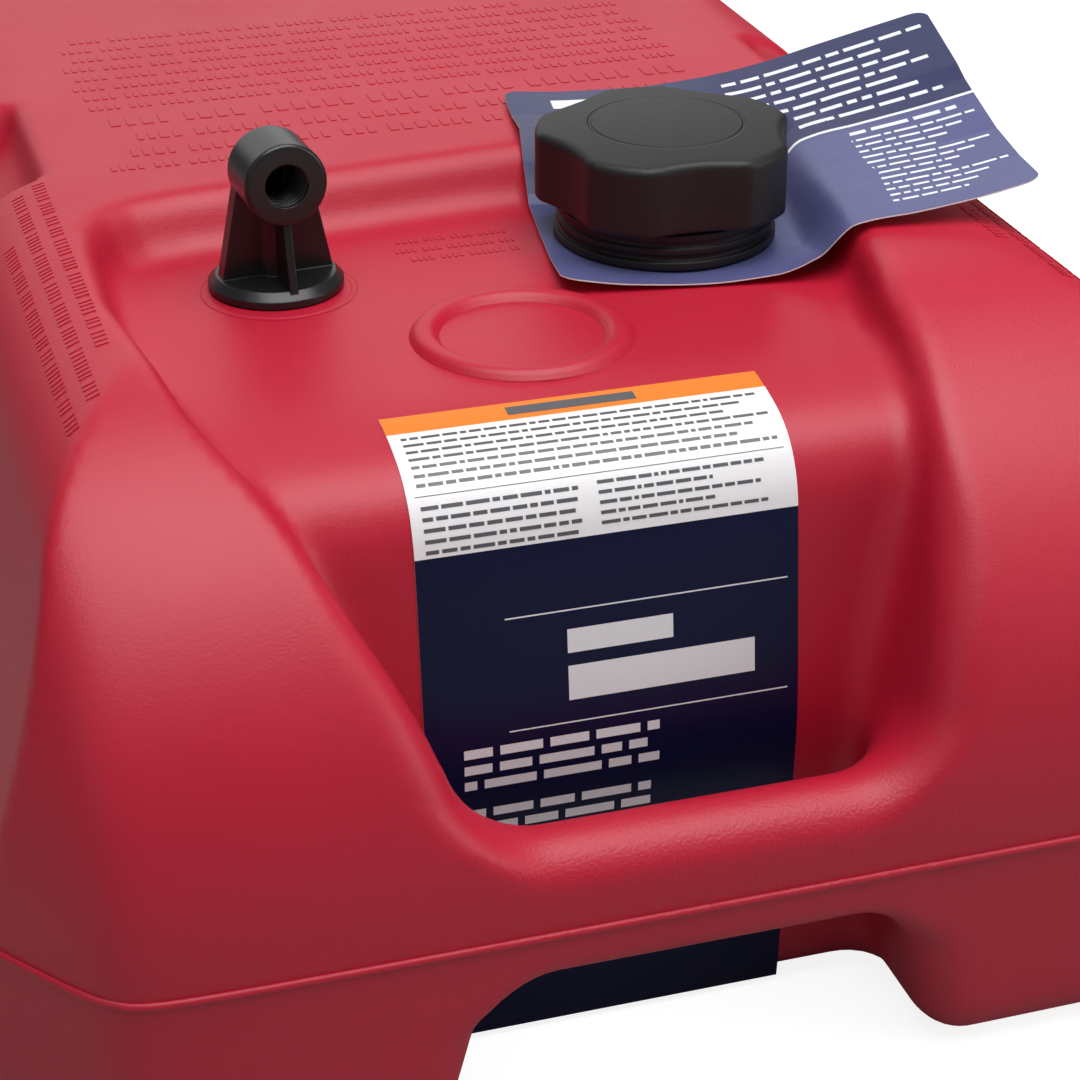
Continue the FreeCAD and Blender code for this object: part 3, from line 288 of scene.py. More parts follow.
@dataclass(frozen=True)
class TankFinish(Finish):
    """Moulded polyethylene: a fine skin, grained on the grip, and a faint circle by the fitting."""

    fitting: Point = (-0.0675, -0.0945)
    groove: float = 0.0208
    groove_width: float = 0.0012
    groove_depth: float = 3.0
    grain_top: float = 0.098
    grain_half: float = 0.075
    grain_fade: float = 0.014
    grain_start: float = -0.222
    grain_full: float = -0.236
    grain_cells: float = 1100.0
    skin_share: float = 0.8
    cloud_scale: float = 9.0
    cloud_shade: float = 0.93
    gloss_scale: float = 26.0
    gloss_spread: float = 0.1

    def build(self) -> bpy.types.Material:
        """Make the material.

        Returns:
            The material.
        """
        shader = Shader(self.name)
        surface = shader.surface.inputs
        surface["Specular IOR Level"].default_value = self.specular
        x, y, z = shader.position()
        clouds = shader.ramp(shader.noise(self.cloud_scale, 3.0), 0.3, 0.7)
        shade = shader.mix(clouds, self.colour, tuple(self.cloud_shade * c for c in self.colour))
        shader.links.new(shade, surface["Base Color"])
        spread = shader.math("MULTIPLY", shader.noise(self.gloss_scale, 4.0), self.gloss_spread)
        even = self.roughness - self.gloss_spread / 2
        shader.links.new(shader.math("ADD", spread, even), surface["Roughness"])
        away_x = shader.math("ABSOLUTE", x)
        low = shader.ramp(z, self.grain_top, self.grain_top - self.grain_fade)
        near = shader.ramp(y, self.grain_start, self.grain_full)
        middle = shader.ramp(away_x, self.grain_half, self.grain_half - self.grain_fade)
        grip = shader.math("MULTIPLY", shader.math("MULTIPLY", low, near), middle)
        leather = shader.math("MULTIPLY", shader.cells(self.grain_cells), grip)
        fine = shader.math("MULTIPLY", shader.noise(self.grain_scale), self.skin_share)
        skin = shader.math("ADD", fine, leather)
        beside = shader.circle(self.fitting, self.groove, self.groove_width)
        ring = shader.math("MULTIPLY", beside, self.groove_depth)
        shader.bump(shader.math("ADD", skin, ring), self.grain_depth)
        return shader.material


@dataclass(frozen=True)
class GripFinish(Finish):
    """Moulded black with a circle cut in its top."""

    centre: Point = (0.0475, -0.088)
    circle: float = 0.022
    circle_width: float = 0.0007
    circle_depth: float = 10.0
    above: float = 0.2035

    def build(self) -> bpy.types.Material:
        """Make the material.

        Returns:
            The material.
        """
        shader = Shader(self.name)
        surface = shader.surface.inputs
        surface["Base Color"].default_value = (*self.colour, 1.0)
        surface["Roughness"].default_value = self.roughness
        surface["Specular IOR Level"].default_value = self.specular
        beside = shader.circle(self.centre, self.circle, self.circle_width)
        below = shader.math("LESS_THAN", shader.position()[2], self.above)
        flat = shader.math("MULTIPLY", shader.math("MAXIMUM", beside, below), self.circle_depth)
        grain = shader.noise(self.grain_scale)
        shader.bump(shader.math("ADD", grain, flat), self.grain_depth)
        return shader.material


@dataclass(frozen=True)
class LeafletFinish(Finish):
    """Printed card: two fields of colour with a rule between them and white cut edges."""

    corner: Point = (0.0055, -0.122)
    turn: float = -9.0
    divide: float = 0.069
    lower: Colour = (0.085, 0.09, 0.22)
    blend: float = 0.0002
    rule: float = 0.0007
    rule_start: float = 0.05
    rule_colour: Colour = (0.8, 0.8, 0.82)
    cut_colour: Colour = (0.8, 0.8, 0.8)
    steep: float = 0.12

    def build(self) -> bpy.types.Material:
        """Make the material.

        Returns:
            The material.
        """
        shader = self.shader()
        x, y, _ = shader.position()
        angle = math.radians(self.turn)
        dx = shader.math("SUBTRACT", x, self.corner[0])
        dy = shader.math("SUBTRACT", y, self.corner[1])
        depth = shader.math("ADD", shader.math("MULTIPLY", dx, -math.sin(angle)),
                            shader.math("MULTIPLY", dy, math.cos(angle)))
        field = shader.ramp(depth, self.divide - self.blend, self.divide + self.blend)
        colour = shader.mix(field, self.lower, self.colour)
        off = shader.math("ABSOLUTE", shader.math("SUBTRACT", depth, self.divide))
        along = shader.math("ADD", shader.math("MULTIPLY", dx, math.cos(angle)),
                            shader.math("MULTIPLY", dy, math.sin(angle)))
        line = shader.math("MULTIPLY", shader.math("LESS_THAN", off, self.rule),
                           shader.math("GREATER_THAN", along, self.rule_start))
        colour = shader.mix(line, colour, self.rule_colour)
        geometry = shader.nodes.new("ShaderNodeNewGeometry")
        split = shader.nodes.new("ShaderNodeSeparateXYZ")
        shader.links.new(geometry.outputs["True Normal"], split.inputs[0])
        side = shader.math("LESS_THAN", shader.math("ABSOLUTE", split.outputs[2]), self.steep)
        under = shader.math("LESS_THAN", split.outputs[2], -self.steep)
        pale = shader.math("MAXIMUM", side, under)
        shader.links.new(shader.mix(pale, colour, self.cut_colour), shader.surface.inputs["Base Color"])
        return shader.material


class Finishes:
    """Every finish of the object, made once."""

    def __init__(self) -> None:
        """Make the materials."""
        self.red = TankFinish("tank_red", (0.45, 0.005, 0.027), 0.47, 1400.0, 0.00009).build()
        self.black = Finish("moulded_black", (0.009, 0.008, 0.008), 0.5, 1400.0, 0.00005, 0.0012,
                            specular=0.42).build()
        self.grip = GripFinish("grip_black", (0.009, 0.008, 0.008), 0.5, 1600.0, 0.00006,
                               specular=0.42).build()
        self.fitting = Finish("glossy_black", (0.009, 0.009, 0.009), 0.3, 500.0, 0.00003, 0.0006).build()
        self.rubber = Finish("rubber_black", (0.012, 0.012, 0.012), 0.75).build()
        self.white = Finish("acetal_white", (0.7, 0.69, 0.65), 0.4).build()
        self.steel = Finish("spring_wire", (0.56, 0.56, 0.57), 0.28, grain_depth=0.0, metallic=1.0).build()
        self.clear = Finish("tube_clear", (0.75, 0.75, 0.7), 0.2, grain_depth=0.0, transmission=0.6).build()
        self.navy = Finish("label_navy", (0.004, 0.006, 0.034), 0.3, 40.0, 0.0001, specular=0.2).build()
        self.paper = Finish("label_white", (0.79, 0.77, 0.79), 0.3, 40.0, 0.0001).build()
        self.orange = Finish("label_orange", (0.86, 0.2, 0.02), 0.3, 40.0, 0.0001).build()
        self.ink = Finish("print_ink", (0.09, 0.09, 0.1), 0.35, grain_depth=0.0).build()
        self.pale_ink = Finish("print_pale", (0.74, 0.75, 0.78), 0.3, grain_depth=0.0).build()
        self.card = LeafletFinish("leaflet_card", (0.028, 0.032, 0.1), 0.42, 70.0, 0.0003,
                                  specular=0.4).build()


def dress(node: str, material: bpy.types.Material) -> None:
    """Give a kept piece its finish.

    Args:
        node: the piece's name.
        material: the finish.
    """
    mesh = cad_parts[node].data
    if mesh.materials:
        mesh.materials[0] = material
    else:
        mesh.materials.append(material)
    LOG.info("%s dressed with %s", node, material.name)


# ---- Meshes ----


def make_piece(name: str, points: Array, faces: Array, materials: list[bpy.types.Material],
               smooth: bool = True, indices: Array | None = None) -> bpy.types.Object:
    """Make a mesh object from points in millimetres.

    Args:
        name: the object's name.
        points: (n, 3) positions.
        faces: (m, 4) or (m, 3) corner indices.
        materials: its finishes.
        smooth: whether it is shaded smooth.
        indices: finish of each face, or None for the first.

    Returns:
        The object.
    """
    mesh = bpy.data.meshes.new(name)
    mesh.from_pydata((points * MM).tolist(), [], faces.tolist())
    for material in materials:
        mesh.materials.append(material)
    mesh.polygons.foreach_set("use_smooth", [smooth] * len(mesh.polygons))
    if indices is not None:
        mesh.polygons.foreach_set("material_index", indices.tolist())
    mesh.update()
    piece = bpy.data.objects.new(name, mesh)
    bpy.context.scene.collection.objects.link(piece)
    return piece


def seat(piece: bpy.types.Object, slot: Slot, *nodes: str, body: Body = Body.TANK) -> None:
    """Fix a finished piece to its body and hide the pieces it stands for.

    Args:
        piece: the piece.
        slot: the material slot it takes its finish from; not used.
        nodes: what it stands for.
        body: what it moves with.
    """
    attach(piece, body.value)
    if nodes:
        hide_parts(*nodes)
    LOG.info("%s built, %d faces", piece.name, len(piece.data.polygons))


def lathe(profile: list[Point], centre: Point, segments: int) -> tuple[Array, Array]:
    """Closed ring swept round a vertical axis.

    Args:
        profile: closed (radius, height) outline, counter-clockwise seen with the axis on the left.
        centre: the axis in plan.
        segments: steps round the axis.

    Returns:
        Points and faces.
    """
    outline = np.array(profile)
    turns = np.linspace(0, 2 * math.pi, segments, endpoint=False)
    radius, height = outline[:, 0][None, :], outline[:, 1][None, :]
    x = centre[0] + radius * np.cos(turns)[:, None]
    y = centre[1] + radius * np.sin(turns)[:, None]
    points = np.stack([x, y, np.broadcast_to(height, x.shape)], -1).reshape(-1, 3)
    count = len(outline)
    i, j = np.meshgrid(np.arange(segments), np.arange(count), indexing="ij")
    i2, j2 = (i + 1) % segments, (j + 1) % count
    faces = np.stack([i * count + j, i2 * count + j, i2 * count + j2, i * count + j2], -1).reshape(-1, 4)
    return points, faces


# ---- Geometry Nodes ----


class Growth:
    """A node tree that grows geometry on a guide mesh and is then turned into a plain piece."""

    def __init__(self, name: str, sizes: dict[str, float]) -> None:
        """Start the tree.

        Args:
            name: the tree's name.
            sizes: its named inputs and their values.
        """
        self.tree = bpy.data.node_groups.new(name, "GeometryNodeTree")
        face = self.tree.interface
        face.new_socket("Geometry", in_out="INPUT", socket_type="NodeSocketGeometry")
        face.new_socket("Geometry", in_out="OUTPUT", socket_type="NodeSocketGeometry")
        self.sockets: dict[str, str] = {}
        for key, value in sizes.items():
            socket = face.new_socket(key, in_out="INPUT", socket_type="NodeSocketFloat")
            socket.default_value = value
            self.sockets[key] = socket.identifier
        socket = face.new_socket("Finish", in_out="INPUT", socket_type="NodeSocketMaterial")
        self.sockets["Finish"] = socket.identifier
        self.sizes = sizes
        self.start = self.tree.nodes.new("NodeGroupInput")
        self.end = self.tree.nodes.new("NodeGroupOutput")

    def node(self, kind: str, **inputs: object) -> bpy.types.Node:
        """Add a node.

        Args:
            kind: Blender's node type.
            inputs: sockets or values by input name, with _ for a space.

        Returns:
            The node.
        """
        node = self.tree.nodes.new(kind)
        for key, value in inputs.items():
            socket = node.inputs[key.replace("_", " ")]
            if isinstance(value, bpy.types.NodeSocket):
                self.tree.links.new(value, socket)
            else:
                socket.default_value = value
        return node

    def attribute(self, name: str) -> bpy.types.NodeSocket:
        """Read a vector stored on the guide.

        Args:
            name: the attribute.

        Returns:
            Its socket.
        """
        node = self.tree.nodes.new("GeometryNodeInputNamedAttribute")
        node.data_type = "FLOAT_VECTOR"
        node.inputs["Name"].default_value = name
        return node.outputs["Attribute"]

    def grow(self, guide: bpy.types.Object, result: bpy.types.NodeSocket,
             finish: bpy.types.Material) -> bpy.types.Object:
        """Close the tree, run it on the guide and keep the plain result.

        Args:
            guide: what it grows on; it is removed.
            result: the grown geometry.
            finish: the material.

        Returns:
            The finished piece.
        """
        real = self.node("GeometryNodeRealizeInstances", Geometry=result)
        painted = self.node("GeometryNodeSetMaterial", Geometry=real.outputs[0])
        self.tree.links.new(self.start.outputs["Finish"], painted.inputs["Material"])
        self.tree.links.new(painted.outputs[0], self.end.inputs[0])
        modifier = guide.modifiers.new("growth", "NODES")
        modifier.node_group = self.tree
        for key, value in self.sizes.items():
            modifier[self.sockets[key]] = value
        modifier[self.sockets["Finish"]] = finish
        graph = bpy.context.evaluated_depsgraph_get()
        mesh = bpy.data.meshes.new_from_object(guide.evaluated_get(graph))
        name = guide.name
        bpy.data.objects.remove(guide)
        piece = bpy.data.objects.new(name, mesh)
        bpy.context.scene.collection.objects.link(piece)
        return piece


def sweep(name: str, path: Array, radius: float, finish: bpy.types.Material, sides: int,
          closed: bool) -> bpy.types.Object:
    """Round bead along a path.

    Args:
        name: the piece's name.
        path: (n, 3) points in millimetres.
        radius: of the bead.
        finish: the material.
        sides: sides of its section.
        closed: whether it runs back to its start; an open bead gets flat ends and facets.

    Returns:
        The bead.
    """
    count = len(path)
    steps = count if closed else count - 1
    mesh = bpy.data.meshes.new(name)
    mesh.from_pydata((path * MM).tolist(), [(i, (i + 1) % count) for i in range(steps)], [])
    guide = bpy.data.objects.new(name, mesh)
    bpy.context.scene.collection.objects.link(guide)
    growth = Growth(name + "_sweep", {"Radius": radius * MM})
    curve = growth.node("GeometryNodeMeshToCurve", Mesh=growth.start.outputs["Geometry"])
    circle = growth.node("GeometryNodeCurvePrimitiveCircle", Resolution=sides,
                         Radius=growth.start.outputs["Radius"])
    tube = growth.node("GeometryNodeCurveToMesh", Curve=curve.outputs[0], Profile_Curve=circle.outputs[0],
                       Fill_Caps=not closed)
    result = tube.outputs[0]
    if closed:
        result = growth.node("GeometryNodeSetShadeSmooth", Geometry=result).outputs[0]
    return growth.grow(guide, result, finish)


def raised_bars(name: str, places: Array, turns: Array, sizes: Array,
                finish: bpy.types.Material) -> bpy.types.Object:
    """Blocks set on points of a surface.

    Args:
        name: the piece's name.
        places: (n, 3) centres in millimetres.
        turns: (n, 3) Euler angles.
        sizes: (n, 3) block sizes in millimetres.
        finish: the material.

    Returns:
        All the blocks in one piece.
    """
    mesh = bpy.data.meshes.new(name)
    mesh.from_pydata((places * MM).tolist(), [], [])
    for key, values in (("turn", turns), ("size", sizes * MM)):
        attribute = mesh.attributes.new(key, "FLOAT_VECTOR", "POINT")
        attribute.data.foreach_set("vector", values.astype(np.float32).ravel())
    guide = bpy.data.objects.new(name, mesh)
    bpy.context.scene.collection.objects.link(guide)
    growth = Growth(name + "_bars", {"Side": 1.0})
    block = growth.node("GeometryNodeMeshCube")
    joined = growth.node("ShaderNodeCombineXYZ", X=growth.start.outputs["Side"],
                         Y=growth.start.outputs["Side"], Z=growth.start.outputs["Side"])
    growth.tree.links.new(joined.outputs[0], block.inputs["Size"])
    points = growth.node("GeometryNodeInstanceOnPoints", Points=growth.start.outputs["Geometry"],
                         Instance=block.outputs[0], Rotation=growth.attribute("turn"),
                         Scale=growth.attribute("size"))
    return growth.grow(guide, points.outputs[0], finish)


# ---- Distance fields ----

LEAST_SLOPE = 0.2
LONGEST_STEP = 2.5


def round_max(a: Array, b: Array, radius: float) -> Array:
    """Intersection of two fields with a rounded edge.

    Args:
        a: first signed distance.
        b: second signed distance.
        radius: of the rounding.

    Returns:
        The signed distance.
    """
    inner = np.minimum(np.maximum(a, b), -radius)
    return inner + np.hypot(np.maximum(a + radius, 0), np.maximum(b + radius, 0))


def round_min(a: Array, b: Array, radius: float) -> Array:
    """Union of two fields with a rounded inner corner.

    Args:
        a: first signed distance.
        b: second signed distance.
        radius: of the rounding.

    Returns:
        The signed distance.
    """
    return -round_max(-a, -b, radius)


def polygon_distance(u: Array, v: Array, corners: list[tuple]) -> Array:
    """Signed distance to a closed polygon, negative inside.

    Args:
        u: first coordinate of the points.
        v: second coordinate.
        corners: corners in order; each coordinate is a number or an array per point.

    Returns:
        The distances.
    """
    shape = np.broadcast(u, v).shape
    best = np.full(shape, 1e12)
    inside = np.zeros(shape, bool)
    for (ax, ay), (bx, by) in zip(corners, corners[1:] + corners[:1]):
        ex, ey = bx - ax, by - ay
        wx, wy = u - ax, v - ay
        share = np.clip((wx * ex + wy * ey) / np.maximum(ex * ex + ey * ey, 1e-9), 0, 1)
        best = np.minimum(best, (wx - ex * share) ** 2 + (wy - ey * share) ** 2)
        crosses = (ay > v) != (by > v)
        slope = np.where(np.abs(ey) < 1e-9, 1e-9, ey)
        inside ^= crosses & (wx < ex * wy / slope)
    return np.where(inside, -1.0, 1.0) * np.sqrt(best)


def rounded(points: list[Point], radii: list[float], steps: int = 4) -> list[Point]:
    """Polygon with arcs at its corners, each with the same number of points.

    Args:
        points: the corners.
        radii: the rounding of each.
        steps: pieces per arc.

    Returns:
        The outline.
    """
    found: list[Point] = []
    count = len(points)
    for i in range(count):
        corner = Vector(points[i])
        before = (Vector(points[i - 1]) - corner).normalized()
        after = (Vector(points[(i + 1) % count]) - corner).normalized()
        half = before.angle(after) / 2
        reach = radii[i] / math.tan(half)
        for k in range(steps + 1):
            share = k / steps
            a = corner + before * reach * (1 - share)
            b = corner + after * reach * share
            spot = a.lerp(b, share)
            found.append((spot.x, spot.y))
    return found


def softened(points: list[Point], rounds: int = 3) -> list[Point]:
    """Open line whose corners are cut again and again into a smooth curve.

    Args:
        points: the line.
        rounds: how often.

    Returns:
        The smooth line, with the same ends.
    """
    line = np.array(points)
    for _ in range(rounds):
        low = line[:-1] * 0.75 + line[1:] * 0.25
        high = line[:-1] * 0.25 + line[1:] * 0.75
        middle = np.stack([low, high], 1).reshape(-1, 2)
        line = np.vstack([line[:1], middle[1:-1], line[-1:]])
    return [tuple(p) for p in line]


@dataclass(frozen=True)
class Outline:
    """Polygon with a rounding at each corner."""

    corners: tuple[Point, ...]
    radii: tuple[float, ...]

    def points(self) -> list[Point]:
        """Turn the roundings into arcs.

        Returns:
            The outline's points.
        """
        return rounded(list(self.corners), list(self.radii))


@dataclass(frozen=True)
class Wall:
    """Side view of the recess: its floor, the roll-over and the wall behind the grip."""

    floor: float = 171.0
    roll_over: float = 160.0
    line: tuple[Point, ...] = (
        (-217.0, -60.0), (-217.0, 0.0), (-219.8, 44.0), (-222.4, 84.0), (-221.6, 98.0), (-218.6, 124.0),
        (-216.2, 145.0), (-214.6, 153.0), (-210.8, 160.0), (-205.0, 165.0), (-197.0, 167.9),
        (-187.0, 169.8), (-176.0, 170.8), (-165.0, 171.0), (-150.0, 171.0), (0.0, 171.0),
    )

    def curve(self) -> list[Point]:
        """Smooth line from below the ground to the back of the recess.

        Returns:
            The (y, z) points.
        """
        return softened(list(self.line))

    def level(self, y: float) -> float:
        """Height of the line above its roll-over.

        Args:
            y: place from front to back.

        Returns:
            The height there.
        """
        upper = np.array([p for p in self.line if p[1] > self.roll_over])
        return float(np.interp(y, upper[:, 0], upper[:, 1]))

    def distance(self, y: Array, z: Array) -> Array:
        """Signed distance to the space before the wall and above the floor.

        Args:
            y: places from front to back.
            z: heights.

        Returns:
            Distances, negative in the space.
        """
        return polygon_distance(y, z, self.curve() + [(0.0, 240.0), (-340.0, 240.0), (-340.0, -60.0)])


class Form:
    """A solid given by its signed distance in millimetres."""

    def distance(self, points: Array) -> Array:
        """Signed distance of points to the surface.

        Args:
            points: (n, 3) places.

        Returns:
            (n,) distances, negative inside.
        """
        raise NotImplementedError

    def gradient(self, points: Array, reach: float = 0.3) -> Array:
        """Direction in which the distance grows.

        Args:
            points: (n, 3) places.
            reach: step of the difference.

        Returns:
            (n, 3) gradients.
        """
        here = self.distance(points)
        slopes = []
        for axis in range(3):
            moved = points.copy()
            moved[:, axis] += reach
            slopes.append((self.distance(moved) - here) / reach)
        return np.stack(slopes, 1)

    def settle(self, points: Array, rounds: int = 2) -> Array:
        """Move points onto the surface.

        Args:
            points: (n, 3) places near it.
            rounds: how often they are moved.

        Returns:
            The moved points.
        """
        for _ in range(rounds):
            slope = self.gradient(points)
            size = np.maximum((slope ** 2).sum(1), LEAST_SLOPE)
            step = np.clip(self.distance(points) / size, -LONGEST_STEP, LONGEST_STEP)
            points = points - slope * step[:, None]
        return points

    def relax(self, points: Array, faces: Array, share: float = 0.6) -> Array:
        """Even out the mesh by moving each point towards its neighbours.

        Args:
            points: (n, 3) places.
            faces: quads.
            share: how far they move.

        Returns:
            The moved points.
        """
        total = np.zeros_like(points)
        count = np.zeros(len(points))
        for k in range(4):
            a, b = faces[:, k], faces[:, (k + 1) % 4]
            for axis in range(3):
                total[:, axis] += np.bincount(a, points[b, axis], len(points))
                total[:, axis] += np.bincount(b, points[a, axis], len(points))
            count += np.bincount(a, minlength=len(points)) + np.bincount(b, minlength=len(points))
        return points + (total / count[:, None] - points) * share

    def mesh(self, low: tuple[float, ...], size: tuple[float, ...], step: float) -> tuple[Array, Array]:
        """Even quad mesh of the surface.

        Args:
            low: lowest corner of the space that holds it.
            size: that space's size.
            step: pitch of the mesh.

        Returns:
            Points and faces.
        """
        start = np.array(low)
        axes = [start[a] + np.arange(int(size[a] / step) + 1) * step for a in range(3)]
        slabs = []
        for x in axes[0]:
            y, z = np.meshgrid(axes[1], axes[2], indexing="ij")
            points = np.stack([np.full(y.size, x), y.ravel(), z.ravel()], 1)
            slabs.append(self.distance(points).reshape(y.shape))
        points, faces = surface_nets(np.stack(slabs), start, step)
        points = self.settle(points)
        for _ in range(2):
            points = self.settle(self.relax(points, faces), 1)
        return self.relax(points, faces, share=0.35), faces


@dataclass(frozen=True)
class GripBar(Form):
    """The handle: a bar across the front, rounder above than below."""

    middle_y: float = -254.5
    middle_z: float = 70.8
    half_depth: float = 12.0
    half_height: float = 18.3
    half_width: float = 84.0
    top_round: float = 11.6
    foot_round: float = 8.0
    change_z: float = 70.0

    def distance(self, points: Array) -> Array:
        """Signed distance of points to the bar.

        Args:
            points: (n, 3) places.

        Returns:
            (n,) distances, negative inside.
        """
        x, y, z = points[:, 0], points[:, 1], points[:, 2]
        radius = np.where(z > self.change_z, self.top_round, self.foot_round)
        dy = np.abs(y - self.middle_y) - self.half_depth + radius
        dz = np.abs(z - self.middle_z) - self.half_height + radius
        bar = np.hypot(np.maximum(dy, 0), np.maximum(dz, 0)) + np.minimum(np.maximum(dy, dz), 0) - radius
        return np.maximum(bar, np.abs(x) - self.half_width)


@dataclass(frozen=True)
class TankForm(Form):
    """The tank's outside as a signed distance in millimetres."""

    half_width: float = 178.0
    half_length: float = 266.5
    height: float = 186.0
    parting: float = 67.0
    nose: float = 110.0
    rear: float = 49.0
    shoulder: float = 36.0
    flat_half: float = 116.0
    facet_x: float = 148.0
    facet_slope: float = 1.4
    facet_soft: float = 7.0
    taper: float = 4.5
    base_edge: float = 17.0
    rim: float = 12.0
    rim_top: float = 5.0
    foot: float = 9.0
    foot_top: float = 5.5
    rise_start: float = 138.0
    rise_height: float = 32.0
    wall: Wall = Wall()
    recess_low: Outline = Outline(
        ((-56, -306.5), (56, -306.5), (56, -205), (59, -165), (65, -126), (70, -85),
         (-82, -110), (-93, -150), (-94, -190), (-56, -252)),
        (0, 0, 40, 40, 40, 20, 20, 40, 40, 20))
    recess_high: Outline = Outline(
        ((-88, -306.5), (80, -306.5), (82, -225), (84.5, -170), (95, -126), (109, -21),
         (-124, -45), (-124, -112), (-114, -184), (-94, -242)),
        (0, 0, 60, 60, 60, 30, 34, 60, 80, 80))
    recess_start: float = 85.0
    recess_tall: float = 121.0
    recess_left: float = -140.0
    recess_right: float = 125.0
    recess_back: float = 4.0
    arch: Outline = Outline(((-78.5, -50), (78.5, -50), (55, 52.5), (-55, 52.5)), (0, 0, 16, 16))
    bar: GripBar = GripBar()
    bar_blend: float = 18.0
    bar_below: float = 125.0
    notch: Outline = Outline(((122, 240), (122, 179), (198, 117), (198, 240)), (0, 16, 0, 0))
    notch_y: float = 10.0
    notch_half: float = 33.0
    notch_corner: float = 5.0
    notch_rim: float = 4.0
    notch_reach: float = 60.0
    notch_above: float = 80.0

    def facet(self, x: Array) -> Array:
        """How far the front is set back by the corner facets.

        Args:
            x: places across.

        Returns:
            The set-back.
        """
        over = np.abs(x) - self.facet_x
        return self.facet_slope * 0.5 * (over + np.sqrt(over * over + self.facet_soft ** 2))

    def closed(self, x: Array, y: Array, z: Array) -> Array:
        """Whole vessel before anything is cut from it.

        Args:
            x: places across.
            y: places from front to back.
            z: heights.

        Returns:
            The signed distance.
        """
        centre_z = self.height - self.shoulder
        dx, dz = self.half_width - self.flat_half, self.parting - centre_z
        lean = math.atan2(dz, dx) + math.acos(self.shoulder / math.hypot(dx, dz))
        qx, qz = np.abs(x) - self.flat_half, z - centre_z
        flank = qx * math.cos(lean) + qz * math.sin(lean) - self.shoulder
        arc = np.hypot(qx, qz) - self.shoulder
        turn = np.arctan2(qz, qx)
        top = z - self.height
        section = np.where(turn < lean, flank, np.where(qx < 0, top, arc))
        section = np.where((qz < 0) & (qx < 0), np.maximum(flank, top), section)
        front = self.facet(x) - self.half_length - y
        steep = np.clip((self.height - z) / self.nose, 0, 1)
        over = np.abs(x) - self.facet_x
        share = 0.5 * (1 + over / np.sqrt(over * over + self.facet_soft ** 2))
        nose = round_max(front, top, self.nose) / np.sqrt(1 + (self.facet_slope * share * steep) ** 2)
        upper = np.maximum(round_max(section, y - self.half_length, self.rear), nose)
        drawn = self.taper * (self.parting - z) / self.parting
        side = round_max(np.abs(x) - self.half_width + drawn, y - self.half_length + drawn, self.rear)
        slant = np.sqrt(1 + (self.facet_slope * share) ** 2)
        lower = round_max(np.maximum(side, front / slant + drawn), -z, self.base_edge)
        return np.where(z >= self.parting, upper, lower)

    def sides(self, x: Array, y: Array, z: Array) -> Array:
        """Distance to the sloping sides of the recess.

        Args:
            x: places across.
            y: places from front to back.
            z: heights.

        Returns:
            Distances, negative between the sides.
        """
        low, high = self.recess_low.points(), self.recess_high.points()
        share = np.clip((z - self.recess_start) / self.recess_tall, 0, 1.1)
        corners = [(a[0] + (b[0] - a[0]) * share, a[1] + (b[1] - a[1]) * share) for a, b in zip(low, high)]
        return polygon_distance(x, y, corners)

    def space(self, x: Array, y: Array, z: Array) -> Array:
        """Distance to all the space cut for the recess, the hand hole and the arch.

        Args:
            x: places across.
            y: places from front to back.
            z: heights.

        Returns:
            Distances, negative in the space.
        """
        foot = self.foot + (self.foot_top - self.foot) * self.rise(z)
        under = polygon_distance(np.abs(x), z, self.arch.points())
        return round_max(np.minimum(self.sides(x, y, z), under), self.wall.distance(y, z), foot)

    def rise(self, z: Array) -> Array:
        """Smooth step from the recess wall to its floor.

        Args:
            z: heights.

        Returns:
            0 on the wall, 1 at the floor and above.
        """
        share = np.clip((z - self.rise_start) / self.rise_height, 0, 1)
        return share * share * (3 - 2 * share)

    def distance(self, points: Array) -> Array:
        """Signed distance of points to the finished outside.

        Args:
            points: (n, 3) places.

        Returns:
            (n,) distances, negative inside.
        """
        x, y, z = points[:, 0], points[:, 1], points[:, 2]
        outside = self.closed(x, y, z)
        result = outside.copy()
        near = (x > self.recess_left) & (x < self.recess_right) & (y < self.recess_back)
        px, py, pz = x[near], y[near], z[near]
        rim = self.rim + (self.rim_top - self.rim) * self.rise(pz)
        cut = round_max(outside[near], -self.space(px, py, pz), rim)
        joined = round_min(cut, self.bar.distance(points[near]), self.bar_blend)
        joined = np.where(pz < self.bar_below, joined, cut)
        result[near] = np.maximum(joined, outside[near])
        high = (np.abs(y - self.notch_y) < self.notch_reach) & (z > self.notch_above)
        profile = polygon_distance(np.abs(x[high]), z[high], self.notch.points())
        notch = round_max(profile, np.abs(y[high] - self.notch_y) - self.notch_half, self.notch_corner)
        result[high] = round_max(result[high], -notch, self.notch_rim)
        return result

    def drop(self, x: Array, y: Array) -> Array:
        """Points on the top side above places in plan.

        Args:
            x: places across.
            y: places from front to back.

        Returns:
            (n, 3) points.
        """
        points = np.stack([x, y, np.full(len(x), self.height)], 1)
        for _ in range(8):
            points[:, 2] -= np.clip(self.distance(points), -6, 6)
        return points


